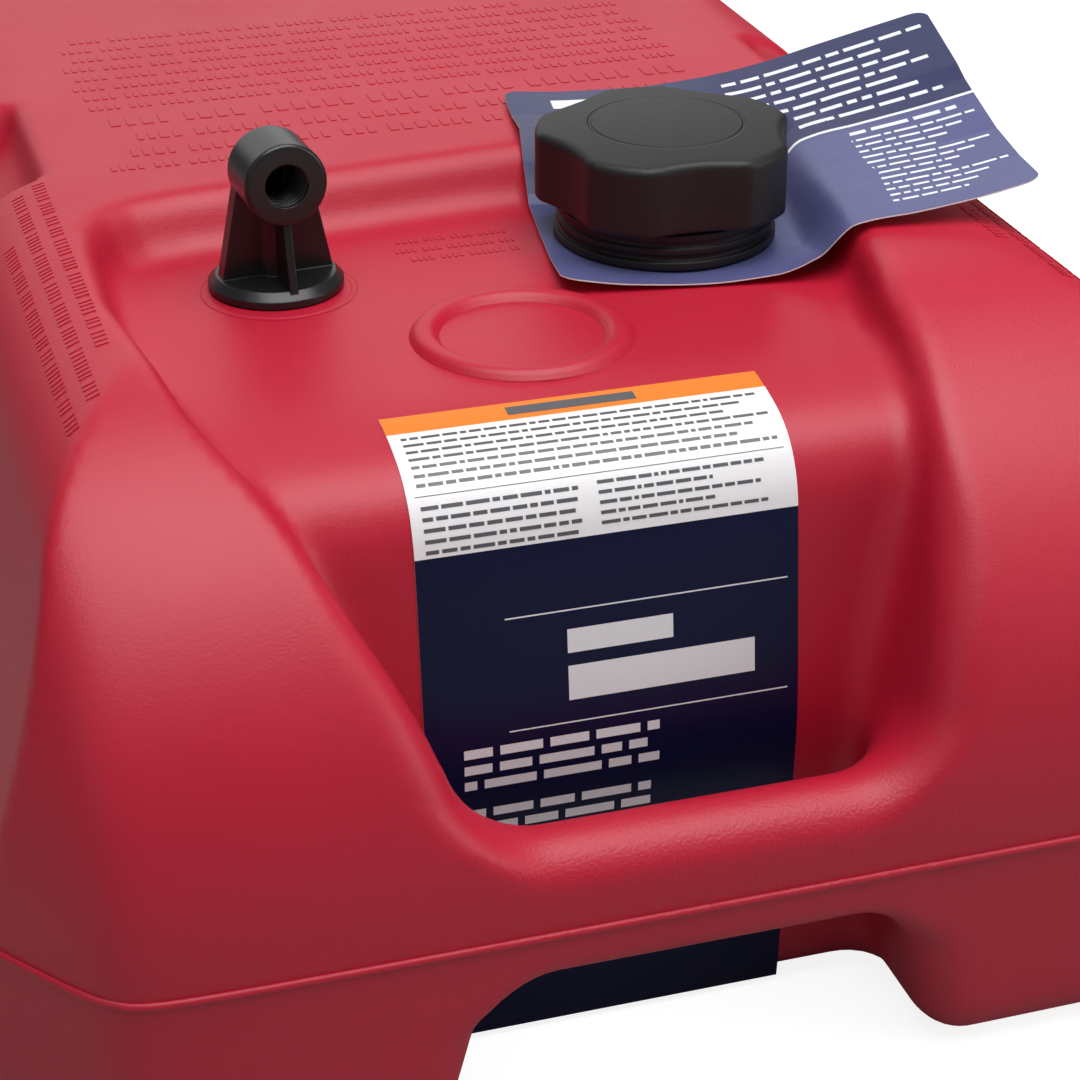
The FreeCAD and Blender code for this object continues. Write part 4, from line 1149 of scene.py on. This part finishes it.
def surface_nets(values: Array, low: Array, step: float) -> tuple[Array, Array]:
    """Quads round the zero surface of a grid of distances.

    Args:
        values: (nx, ny, nz) distances.
        low: the grid's lowest corner.
        step: its pitch.

    Returns:
        Points and faces.
    """
    inside = values < 0
    nx, ny, nz = values.shape
    cells = (nx - 1, ny - 1, nz - 1)
    total = np.zeros(cells, np.int8)
    for i in (0, 1):
        for j in (0, 1):
            for k in (0, 1):
                total += inside[i:nx - 1 + i, j:ny - 1 + j, k:nz - 1 + k]
    active = (total > 0) & (total < 8)
    number = np.full(cells, -1, np.int64)
    number[active] = np.arange(active.sum())
    spots = np.argwhere(active)
    places = np.zeros((len(spots), 3))
    hits = np.zeros(len(spots))
    quads = []
    for axis in range(3):
        others = [a for a in range(3) if a != axis]
        for u in (0, 1):
            for v in (0, 1):
                start = spots.copy()
                start[:, others[0]] += u
                start[:, others[1]] += v
                stop = start.copy()
                stop[:, axis] += 1
                a, b = values[tuple(start.T)], values[tuple(stop.T)]
                cross = (a < 0) != (b < 0)
                share = np.where(cross, a / np.where(a == b, 1, a - b), 0)
                spot = start.astype(float)
                spot[:, axis] += share
                places += np.where(cross[:, None], spot, 0)
                hits += cross
        first = [slice(None)] * 3
        second = [slice(None)] * 3
        first[axis] = slice(0, -1)
        second[axis] = slice(1, None)
        flips = np.argwhere(inside[tuple(first)] != inside[tuple(second)])
        keep = np.ones(len(flips), bool)
        for other in others:
            keep &= (flips[:, other] > 0) & (flips[:, other] < values.shape[other] - 1)
        flips = flips[keep]
        corner = []
        for u, v in ((0, 0), (1, 0), (1, 1), (0, 1)):
            cell = flips.copy()
            cell[:, others[0]] -= u
            cell[:, others[1]] -= v
            corner.append(number[tuple(cell.T)])
        face = np.stack(corner, 1)
        turned = inside[tuple(flips.T)] == (axis != 1)
        face[~turned] = face[~turned][:, ::-1]
        quads.append(face)
    return low + places / hits[:, None] * step, np.concatenate(quads)


@dataclass
class TankBody:
    """The moulded vessel with its seam, neck and gauge ring."""

    finishes: Finishes
    form: TankForm
    step: float = 3.0
    bead_radius: float = 1.15
    gauge_centre: Point = (-12.3, -144.0)
    gauge_outer: float = 29.5
    gauge_inner: float = 22.8
    gauge_height: float = 2.3
    neck_centre: Point = (47.5, -88.0)
    neck_radius: float = 28.0
    neck_bore: float = 22.0
    neck_top: float = 187.0
    skin_low: tuple[float, ...] = (-185.0, -274.0, -7.0)
    skin_size: tuple[float, ...] = (370.0, 548.0, 200.0)
    seam_corner: float = 60.0
    seam_pitch: float = 4.0

    def skin(self) -> None:
        """Mesh the vessel's outside."""
        points, faces = self.form.mesh(self.skin_low, self.skin_size, self.step)
        points[:, 2] = np.maximum(points[:, 2], 0.0)
        piece = make_piece("tank_body_skin", points, faces, [self.finishes.red])
        seat(piece, Slot.RED, "tank_body")

    def seam(self) -> None:
        """Pinch bead round the vessel at the parting line."""
        form = self.form
        side, end = form.half_width, form.half_length
        corners = [(-side, -end), (side, -end), (side, end), (-side, end)]
        line = np.array(rounded(corners, [self.seam_corner] * 4, 12))
        dense = []
        for a, b in zip(line, np.roll(line, -1, axis=0)):
            pieces = max(1, int(np.hypot(*(b - a)) / self.seam_pitch))
            dense += [a + (b - a) * k / pieces for k in range(pieces)]
        plan = np.array(dense)
        points = np.column_stack([plan, np.full(len(plan), form.parting + 0.01)])
        reach = 0.3
        for _ in range(8):
            slope = np.stack([form.closed(*(points + d).T) - form.closed(*points.T)
                              for d in np.eye(3)[:2] * reach], 1) / reach
            size = np.maximum((slope ** 2).sum(1), LEAST_SLOPE)
            step = form.closed(*points.T) / size
            points[:, :2] -= slope * step[:, None]
        points[:, 2] = form.parting
        piece = sweep("tank_seam", points, self.bead_radius, self.finishes.red, 10, closed=True)
        seat(piece, Slot.RED)

    def rings(self) -> None:
        """Gauge ring on the floor and the filler neck below the cap."""
        floor = self.form.wall.floor
        top = floor + self.gauge_height
        outer, inner = self.gauge_outer, self.gauge_inner
        profile = [(inner - 1.2, floor - 0.6), (outer + 1.2, floor - 0.6), (outer + 0.5, floor + 0.25),
                   (outer - 0.3, floor + 1.1), (outer - 1.1, top - 0.3), (outer - 2.4, top),
                   (inner + 2.2, top), (inner + 1.1, top - 0.4), (inner + 0.3, floor + 1.0),
                   (inner - 0.5, floor + 0.25)]
        points, faces = lathe(profile, self.gauge_centre, 96)
        seat(make_piece("gauge_ring", points, faces, [self.finishes.red]), Slot.RED)
        outer, bore, rim = self.neck_radius, self.neck_bore, self.neck_top
        profile = [(bore, floor - 1), (outer, floor - 1), (outer, rim - 1),
                   (outer - 1, rim), (bore + 1, rim), (bore, rim - 1)]
        points, faces = lathe(profile, self.neck_centre, 72)
        seat(make_piece("filler_neck", points, faces, [self.finishes.red], smooth=False), Slot.RED)

    def build(self) -> None:
        """Build every part of the vessel."""
        self.skin()
        self.seam()
        self.rings()


@dataclass
class Embossing:
    """Rows of short plain bars moulded on the top where such tanks have raised print."""

    finishes: Finishes
    form: TankForm
    height: float = 0.4
    seed: int = 7
    bar: Point = (0.3, 0.5)
    gap: float = 0.28
    word_gap: float = 0.8
    word: tuple[int, int] = (3, 9)
    first_word: int = 4
    side_rows: tuple[tuple[float, ...], ...] = (
        (124.0, -150, -30), (130.5, -176, -34), (137.0, -186, -60),
    )
    side_letter: float = 3.6
    top_rows: tuple[tuple[float, ...], ...] = (
        (-26, -102, -52, 5), (-14, -94, 20, 7), (0, -90, 88, 7), (15, -96, 90, 9), (30, -100, 92, 5),
        (40, -100, 92, 5), (50, -102, 90, 5), (60, -100, 94, 5), (70, -102, 92, 5), (80, -98, 90, 5),
        (90, -100, 92, 5), (100, -96, 60, 5),
    )
    top_share: float = 0.8
    floor_rows: tuple[tuple[float, ...], ...] = ((-84, -27, 5), (-77, -30, 6), (-70, -28, 4))
    floor_letter: float = 2.6

    def row(self, start: Point, end: Point, letter: float, random: np.random.Generator) -> list[tuple]:
        """Bars along one line in plan.

        Args:
            start: where the line starts.
            end: where it ends.
            letter: height of the bars.
            random: source of their lengths.

        Returns:
            (x, y, direction, length, letter) of each bar.
        """
        length = math.hypot(end[0] - start[0], end[1] - start[1])
        along = ((end[0] - start[0]) / length, (end[1] - start[1]) / length)
        bars, done, left = [], 0.0, self.first_word
        while done < length:
            size = float(random.uniform(*self.bar)) * letter
            middle = done + size / 2
            bars.append((start[0] + along[0] * middle, start[1] + along[1] * middle,
                         math.atan2(along[1], along[0]), size, letter))
            left -= 1
            done += size + letter * (self.gap if left else self.word_gap)
            left = left or int(random.integers(*self.word))
        return bars

    def build(self) -> None:
        """Build all the rows."""
        random = np.random.default_rng(self.seed)
        bars: list[tuple] = []
        for side in (-1, 1):
            for x, low, high in self.side_rows:
                bars += self.row((side * x, low), (side * x, high), self.side_letter, random)
        for y, low, high, letter in self.top_rows:
            bars += self.row((low, y), (high, y), letter * self.top_share, random)
        for y, low, high in self.floor_rows:
            bars += self.row((low, y), (high, y), self.floor_letter, random)
        data = np.array(bars)
        places = self.form.drop(data[:, 0], data[:, 1])
        normals = self.form.gradient(places)
        turns = []
        for normal, angle in zip(normals, data[:, 2]):
            flat = Vector((math.cos(angle), math.sin(angle), 0.0))
            up = Vector(normal).normalized()
            along = (flat - up * flat.dot(up)).normalized()
            turns.append(tuple(Matrix((along, up.cross(along), up)).transposed().to_euler()))
        sizes = np.column_stack([data[:, 3], data[:, 4], np.full(len(data), self.height)])
        piece = raised_bars("tank_raised_rows", places, np.array(turns), sizes, self.finishes.red)
        seat(piece, Slot.RED)


# ---- Printed pieces ----

Surface = Callable[[Array, Array, float], Array]


def patches(surface: Surface, areas: list[tuple], pitch: float) -> tuple[Array, Array, Array]:
    """Rectangles that follow a surface, each with its own finish.

    Args:
        surface: places a (u, v) grid at a lift above the surface.
        areas: (u0, u1, v0, v1, lift, finish number) of each rectangle.
        pitch: longest side of a face.

    Returns:
        Points, faces and the finish number of each face.
    """
    points, faces, finish, base = [], [], [], 0
    for u0, u1, v0, v1, lift, number in areas:
        nu = max(1, math.ceil((u1 - u0) / pitch)) + 1
        nv = max(1, math.ceil((v1 - v0) / pitch)) + 1
        u, v = np.meshgrid(np.linspace(u0, u1, nu), np.linspace(v0, v1, nv), indexing="ij")
        points.append(surface(u.ravel(), v.ravel(), lift))
        i, j = np.meshgrid(np.arange(nu - 1), np.arange(nv - 1), indexing="ij")
        corner = (i * nv + j).ravel() + base
        faces.append(np.stack([corner, corner + nv, corner + nv + 1, corner + 1], 1))
        finish.append(np.full(len(corner), int(number)))
        base += nu * nv
    return np.concatenate(points), np.concatenate(faces), np.concatenate(finish)


@dataclass(frozen=True)
class Paragraph:
    """Block of printed rows drawn as plain bars, with a ragged end."""

    start: float
    end: float
    top: float
    tall: float
    rows: int = 1
    pitch: float = 0.0
    ragged: float = 0.0
    cycle: int = 1
    indent: float = 0.0
    indented: int = 0
    word: Point = (1.2, 6.0)
    gap: float = 0.75

    def row(self, number: int, shift: float, random: np.random.Generator) -> list[tuple]:
        """Bars of one row.

        Args:
            number: which row, from 0.
            shift: added to the block's place.
            random: source of the lengths.

        Returns:
            (u0, u1, v0, v1) of each bar.
        """
        at = self.start + (self.indent if number < self.indented else 0.0)
        end = self.end - (number % self.cycle) * self.ragged
        v = shift + self.top + number * self.pitch
        bars = []
        while at < end - self.tall:
            size = min(float(random.uniform(*self.word)) * self.tall, end - at)
            bars.append((at, at + size, v, v + self.tall))
            at += size + self.gap * self.tall
        return bars


def printed(columns: tuple[Paragraph, ...], lift: float, finish: int, random: np.random.Generator,
            shift: float = 0.0) -> list[tuple]:
    """Paragraphs side by side, laid row by row.

    Args:
        columns: the paragraphs, with equal numbers of rows.
        lift: above the surface.
        finish: number of the finish.
        random: source of the lengths.
        shift: added to the paragraphs' places.

    Returns:
        Areas for patches.
    """
    areas = []
    for number in range(columns[0].rows):
        for column in columns:
            areas += [(*bar, lift, finish) for bar in column.row(number, shift, random)]
    return areas


@dataclass
class TankLabel:
    """Printed film over the recess floor and down the wall."""

    finishes: Finishes
    form: TankForm
    left: float = -61.5
    width: float = 100.0
    top_y: float = -183.0
    bottom_z: float = 2.0
    foot_y: float = -217.1
    thickness: float = 0.3
    under: float = 0.02
    ink_lift: float = 0.04
    pitch: float = 3.0
    edge_across: int = 34
    edge_down: int = 60
    seed: int = 3
    banner: float = 7.6
    banner_bar: tuple[float, ...] = (32, 66, 2.0, 5.6)
    paper_ends_z: float = 147.4
    lead: Paragraph = Paragraph(3, 97, 9.6, 0.95, rows=7, pitch=2.6, ragged=5, cycle=3)
    rule: tuple[float, ...] = (2, 98, 28.4, 28.6)
    columns: tuple[Paragraph, ...] = (
        Paragraph(3, 43, 31.0, 1.0, rows=5, pitch=2.7),
        Paragraph(48, 92, 30.4, 0.9, rows=5, pitch=2.5, ragged=14, cycle=2),
    )
    navy_bars: tuple[tuple[float, ...], ...] = (
        (22, 97, 18.6, 19.0), (22, 97, 49.4, 49.8), (38, 66, 24, 30.5), (38, 88, 34, 43.5),
    )
    navy_rows: tuple[Paragraph, ...] = (
        Paragraph(10, 62, 53, 2.6, rows=3, pitch=4.6),
        Paragraph(10, 60, 71, 2.6, rows=3, pitch=4.6),
        Paragraph(22, 62, 112, 2.8),
    )

    def line(self) -> tuple[Array, Array]:
        """The film's path in side view, from its top edge down.

        Returns:
            (n, 2) points and the length up to each.
        """
        wall = self.form.wall
        curve = [p for p in wall.curve() if p[1] > self.bottom_z and p[0] < self.top_y]
        curve = np.array(curve)[::-1]
        start = np.array([[self.top_y, wall.level(self.top_y)]])
        foot = np.array([[self.foot_y, self.bottom_z]])
        path = np.vstack([start, curve, foot])
        steps = np.hypot(*np.diff(path, axis=0).T)
        return path, np.concatenate([[0], np.cumsum(steps)])

    def place(self, u: Array, v: Array, lift: float) -> Array:
        """Points on the film.

        Args:
            u: from its left edge.
            v: from its top edge down.
            lift: above the tank.

        Returns:
            (n, 3) points.
        """
        path, lengths = self.line()
        y = np.interp(v, lengths, path[:, 0])
        z = np.interp(v, lengths, path[:, 1])
        ahead = np.interp(v + 1.0, lengths, path[:, 0]), np.interp(v + 1.0, lengths, path[:, 1])
        behind = np.interp(v - 1.0, lengths, path[:, 0]), np.interp(v - 1.0, lengths, path[:, 1])
        dy, dz = ahead[0] - behind[0], ahead[1] - behind[1]
        size = np.maximum(np.hypot(dy, dz), 1e-6)
        return np.stack([self.left + u, y + dz / size * lift, z - dy / size * lift], 1)

    def build(self) -> None:
        """Build the film, its fields of colour and its rows."""
        path, lengths = self.line()
        total = float(lengths[-1])
        split = float(np.interp(-self.paper_ends_z, -path[:, 1], lengths))
        random = np.random.default_rng(self.seed)
        lift, width = self.thickness, self.width
        ink = lift + self.ink_lift
        areas = [(0, width, 0, self.banner, lift, Print.ORANGE),
                 (0, width, self.banner, split, lift, Print.PAPER),
                 (0, width, split, total, lift, Print.NAVY),
                 (*self.banner_bar, ink, Print.INK)]
        areas += printed((self.lead,), ink, Print.INK, random)
        areas.append((*self.rule, ink, Print.INK))
        areas += printed(self.columns, ink, Print.INK, random)
        areas += [(u0, u1, split + v0, split + v1, ink, Print.PALE) for u0, u1, v0, v1 in self.navy_bars]
        for rows in self.navy_rows:
            areas += printed((rows,), ink, Print.PALE, random, split)
        points, faces, finish = patches(self.place, areas, self.pitch)
        rim = self.edge(total)
        faces = np.concatenate([faces, rim[1] + len(points)])
        finish = np.concatenate([finish, np.full(len(rim[1]), int(Print.PAPER))])
        points = np.concatenate([points, rim[0]])
        f = self.finishes
        piece = make_piece("tank_label_film", points, faces, [f.navy, f.paper, f.orange, f.ink, f.pale_ink],
                           indices=finish)
        seat(piece, Slot.LABEL, "tank_label")

    def edge(self, total: float) -> tuple[Array, Array]:
        """Cut edge of the film all round.

        Args:
            total: the film's length.

        Returns:
            Points and faces.
        """
        across, down = self.edge_across, self.edge_down
        u = np.concatenate([np.linspace(0, self.width, across), np.full(down, self.width),
                            np.linspace(self.width, 0, across), np.zeros(down)])
        v = np.concatenate([np.zeros(across), np.linspace(0, total, down), np.full(across, total),
                            np.linspace(total, 0, down)])
        outer = self.place(u, v, self.thickness)
        inner = self.place(u, v, self.under)
        count = len(u)
        i = np.arange(count)
        j = (i + 1) % count
        return np.concatenate([outer, inner]), np.stack([i, j, j + count, i + count], 1)


@dataclass
class Leaflet:
    """Loose printed card round the neck: the sheet stays as it is and gets its print."""

    finishes: Finishes
    corner: Point = (5.5, -122.0)
    turn: float = -9.0
    floor: float = 171.0
    thickness: float = 0.4
    columns: tuple[float, ...] = (0, 20, 40, 60, 72, 83, 100, 118, 135)
    rows: tuple[float, ...] = (0, 22, 44, 66, 78, 86.5, 104, 125)
    heights: tuple[tuple[float, ...], ...] = (
        (5.0, 2.0, 1.0, 2.5, 7.0, 16.4, 19.0, 22.5, 27.0),
        (2.0, 1.0, 0.9, 1.0, 2.0, 16.4, 19.0, 22.0, 26.0),
        (1.4, 0.8, 0.8, 0.8, 1.7, 16.2, 19.5, 22.5, 26.5),
        (1.8, 0.8, 0.8, 0.8, 3.5, 16.4, 20.5, 24.5, 29.0),
        (11.0, 4.2, 1.5, 2.6, 8.0, 17.2, 21.5, 26.0, 30.5),
        (18.6, 18.6, 17.0, 16.4, 16.8, 18.2, 22.8, 27.6, 32.5),
        (16.6, 16.2, 16.2, 16.8, 18.0, 20.5, 25.0, 30.0, 35.0),
        (17.4, 16.4, 16.6, 18.5, 20.5, 23.0, 28.0, 33.2, 38.0),
    )
    seed: int = 5
    ink_lift: float = 0.06
    pitch: float = 2.5
    title: tuple[float, ...] = (14, 52, 108.5, 116)
    text: tuple[Paragraph, ...] = (
        Paragraph(68, 131, 76, 2.1, rows=7, pitch=6.4, ragged=7, cycle=3, indent=16, indented=2),
        Paragraph(88, 128, 62.0, 2.2),
        Paragraph(90, 132, 57.2, 1.3, rows=12, pitch=-4.3, ragged=5, cycle=4),
    )

    def profile(self, heights: tuple[float, ...], u: Array) -> Array:
        """Height along one row of the sheet.

        Args:
            heights: at the columns.
            u: places along the row.

        Returns:
            The heights there.
        """
        at = np.array(self.columns, float)
        level = np.array(heights, float)
        steps = np.diff(level) / np.diff(at)
        slopes = [steps[0]]
        for a, b in zip(steps, steps[1:]):
            slopes.append(0.0 if a * b <= 0 else 2 * a * b / (a + b))
        slopes = np.array(slopes + [steps[-1]])
        k = np.clip(np.searchsorted(at, u) - 1, 0, len(at) - 2)
        span = at[k + 1] - at[k]
        t = (u - at[k]) / span
        return ((2 * t ** 3 - 3 * t ** 2 + 1) * level[k] + (t ** 3 - 2 * t ** 2 + t) * span * slopes[k]
                + (3 * t ** 2 - 2 * t ** 3) * level[k + 1] + (t ** 3 - t ** 2) * span * slopes[k + 1])

    def place(self, u: Array, v: Array, lift: float) -> Array:
        """Points on the sheet's upper side.

        Args:
            u: along its front edge.
            v: back from that edge.
            lift: above the sheet.

        Returns:
            (n, 3) points.
        """
        lines = np.stack([self.profile(h, u) for h in self.heights])
        rows = np.array(self.rows, float)
        k = np.clip(np.searchsorted(rows, v) - 1, 0, len(rows) - 2)
        t = (v - rows[k]) / (rows[k + 1] - rows[k])
        n = np.arange(len(u))
        z = self.floor + lines[k, n] * (1 - t) + lines[k + 1, n] * t + self.thickness + lift
        angle = math.radians(self.turn)
        x = self.corner[0] + u * math.cos(angle) - v * math.sin(angle)
        y = self.corner[1] + u * math.sin(angle) + v * math.cos(angle)
        return np.stack([x, y, z], 1)

    def build(self) -> None:
        """Dress the sheet and lay its printed rows on it."""
        dress("leaflet", self.finishes.card)
        random = np.random.default_rng(self.seed)
        areas = [(*self.title, self.ink_lift, 0)]
        for rows in self.text:
            areas += printed((rows,), self.ink_lift, 0, random)
        points, faces, _ = patches(self.place, areas, self.pitch)
        piece = make_piece("leaflet_print", points, faces, [self.finishes.pale_ink])
        seat(piece, Slot.LEAFLET)


# ---- Cap and fitting ----


@dataclass(frozen=True)
class ShellForm(Form):
    """The cap's hand grip: a domed drum with wide scooped flutes, hollow from below."""

    centre: Point = (47.5, -88.0)
    radius: float = 37.4
    flutes: int = 5
    first: float = -93.5
    scoop: float = 54.0
    depth: float = 4.2
    bottom: float = 184.5
    top: float = 206.5
    dome: float = 2.3
    bore: float = 31.8
    lip: float = 30.3
    lip_top: float = 187.4
    roof: float = 202.4
    flute_edge: float = 1.6
    shoulder: float = 2.0
    foot: float = 0.9

    def distance(self, points: Array) -> Array:
        """Signed distance of points to the grip.

        Args:
            points: (n, 3) places.

        Returns:
            (n,) distances, negative inside.
        """
        x, y, z = points[:, 0] - self.centre[0], points[:, 1] - self.centre[1], points[:, 2]
        away = np.hypot(x, y)
        side = away - self.radius
        reach = self.radius - self.depth + self.scoop
        for k in range(self.flutes):
            angle = math.radians(self.first + 360.0 / self.flutes * k)
            gap = np.hypot(x - reach * math.cos(angle), y - reach * math.sin(angle)) - self.scoop
            side = round_max(side, -gap, self.flute_edge)
        roof = z - self.top + self.dome * (away / self.radius) ** 2
        drum = round_max(round_max(side, roof, self.shoulder), self.bottom - z, self.foot)
        inside = np.where(z < self.lip_top, self.lip, self.bore)
        return np.maximum(drum, -np.maximum(away - inside, z - self.roof))


@dataclass
class FillerCap:
    """Vented filler cap: grip shell, threaded closure, seals, ratchet and valve."""

    finishes: Finishes
    form: ShellForm
    step: float = 0.7
    reach: float = 39.0
    low: float = 182.0
    tall: float = 27.0

    def grip(self) -> None:
        """Mesh the hand grip."""
        x, y = self.form.centre
        low = (x - self.reach, y - self.reach, self.low)
        points, faces = self.form.mesh(low, (2 * self.reach, 2 * self.reach, self.tall), self.step)
        piece = make_piece("cap_shell_skin", points, faces, [self.finishes.grip])
        seat(piece, Slot.BLACK, "cap_shell", body=Body.SHELL)

    def build(self) -> None:
        """Build the grip and dress the rest of the cap."""
        f = self.finishes
        self.grip()
        dress("cap_closure", f.black)
        for node in ("cap_gasket", "relief_seal", "vacuum_seal"):
            dress(node, f.rubber)
        for node in ("ratchet_ring", "valve_cage", "relief_plate", "vacuum_disc"):
            dress(node, f.white)
        for node in ("relief_spring", "vacuum_spring"):
            dress(node, f.steel)


@dataclass
class FuelOutlet:
    """Withdrawal fitting with its gasket, pickup tube and strainer."""

    finishes: Finishes
    centre: Point = (-67.5, -91.0)
    turn: float = 5.0
    axis: float = 205.0
    mouth: float = 14.8
    bore: float = 6.1
    length: float = 12.4
    lead: float = 0.4
    pitch: float = 1.41
    ridge: float = 0.42
    steps: int = 28

    def thread(self) -> None:
        """Thread ridge in the outlet."""
        turns = self.length / self.pitch
        t = np.linspace(0, 2 * math.pi * turns, int(self.steps * turns))
        depth = -self.mouth + self.lead + t / (2 * math.pi) * self.pitch
        x, z = self.bore * np.cos(t), self.bore * np.sin(t)
        angle = math.radians(self.turn)
        path = np.stack([self.centre[0] + x * math.cos(angle) - depth * math.sin(angle),
                         self.centre[1] + x * math.sin(angle) + depth * math.cos(angle),
                         self.axis + z], 1)
        piece = sweep("outlet_thread", path, self.ridge, self.finishes.fitting, 6, closed=False)
        seat(piece, Slot.BLACK)

    def build(self) -> None:
        """Dress the fitting and what hangs from it."""
        f = self.finishes
        dress("fuel_fitting", f.fitting)
        dress("fitting_gasket", f.rubber)
        dress("pickup_tube", f.clear)
        dress("strainer_frame", f.white)
        dress("strainer_screen", f.steel)
        self.thread()


# ---- Studio ----


@dataclass
class Lamp:
    """One soft rectangular light."""

    name: str
    place: tuple[float, float, float]
    aim: tuple[float, float, float]
    size: Point
    power: float

    def build(self) -> None:
        """Add the light."""
        light = bpy.data.lights.new(self.name, "AREA")
        light.shape = "RECTANGLE"
        light.size, light.size_y = self.size
        light.energy = self.power
        lamp = bpy.data.objects.new(self.name, light)
        lamp.location = self.place
        lamp.rotation_euler = (Vector(self.aim) - Vector(self.place)).to_track_quat("-Z", "Y").to_euler()
        bpy.context.scene.collection.objects.link(lamp)


@dataclass
class Studio:
    """Pale floor, soft lights and the camera."""

    floor_colour: Colour = (0.35, 0.35, 0.35)
    floor_lift: float = 0.86
    ambient: float = 0.2
    lens: float = 88.2
    camera_place: tuple[float, float, float] = (-0.19924, -0.76392, 0.45196)
    camera_aim: tuple[float, float, float] = (0.2613, 0.8443, -0.4679)

    def floor(self) -> None:
        """Pale floor and a white world behind it."""
        size = 6000.0
        corners = np.array([[-size, -size, 0], [size, -size, 0], [size, size, 0], [-size, size, 0]])
        finish = Finish("studio_floor", self.floor_colour, 0.9, grain_depth=0.0, specular=0.1).build()
        tree = finish.node_tree
        path = tree.nodes.new("ShaderNodeLightPath")
        lift = tree.nodes.new("ShaderNodeMath")
        lift.operation = "MULTIPLY"
        lift.inputs[1].default_value = self.floor_lift
        tree.links.new(path.outputs["Is Camera Ray"], lift.inputs[0])
        surface = tree.nodes["Principled BSDF"].inputs
        surface["Emission Color"].default_value = (1, 1, 1, 1)
        tree.links.new(lift.outputs[0], surface["Emission Strength"])
        ground = make_piece("studio_floor", corners, np.array([[0, 1, 2, 3]]), [finish], smooth=False)
        ground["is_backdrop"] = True
        world = bpy.data.worlds.new("studio")
        bpy.context.scene.world = world
        world.use_nodes = True
        tree = world.node_tree
        tree.nodes.clear()
        path = tree.nodes.new("ShaderNodeLightPath")
        soft = tree.nodes.new("ShaderNodeBackground")
        soft.inputs["Strength"].default_value = self.ambient
        plain = tree.nodes.new("ShaderNodeBackground")
        plain.inputs["Color"].default_value = (1, 1, 1, 1)
        mixed = tree.nodes.new("ShaderNodeMixShader")
        output = tree.nodes.new("ShaderNodeOutputWorld")
        tree.links.new(path.outputs["Is Camera Ray"], mixed.inputs[0])
        tree.links.new(soft.outputs[0], mixed.inputs[1])
        tree.links.new(plain.outputs[0], mixed.inputs[2])
        tree.links.new(mixed.outputs[0], output.inputs[0])

    def camera(self) -> None:
        """Camera at the front left, above the grip."""
        data = bpy.data.cameras.new("camera")
        data.lens = self.lens
        data.sensor_width = 36.0
        data.clip_start = 0.01
        eye = bpy.data.objects.new("camera", data)
        eye.location = self.camera_place
        eye.rotation_euler = Vector(self.camera_aim).to_track_quat("-Z", "Y").to_euler()
        bpy.context.scene.collection.objects.link(eye)
        bpy.context.scene.camera = eye

    def build(self) -> None:
        """Set up the studio."""
        bpy.context.scene.view_settings.view_transform = "Standard"
        self.floor()
        lamps = (
            Lamp("overhead", (0.1, -0.4, 1.45), (0.0, -0.15, 0.1), (1.4, 1.3), 27.0),
            Lamp("back_soft", (0.0, 2.0, 1.0), (0.0, 0.0, 0.15), (2.4, 1.2), 9.0),
            Lamp("front_left", (-1.5, -1.2, 0.8), (0.0, -0.2, 0.1), (0.8, 1.0), 1.6),
            Lamp("front_right", (1.5, -1.0, 0.6), (0.0, -0.2, 0.1), (0.8, 1.0), 7.0),
        )
        for lamp in lamps:
            lamp.build()
        self.camera()
        LOG.info("studio ready")


def main() -> None:
    """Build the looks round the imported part."""
    logging.basicConfig(level=logging.INFO)
    finishes = Finishes()
    form = TankForm()
    TankBody(finishes, form).build()
    Embossing(finishes, form).build()
    TankLabel(finishes, form).build()
    Leaflet(finishes).build()
    FillerCap(finishes, ShellForm()).build()
    FuelOutlet(finishes).build()
    Studio().build()
    sizes = {"start": BOUNDS_AT_START, "end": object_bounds()}
    json.loads(json.dumps(sizes, default=list))


if __name__ == "__main__":
    main()
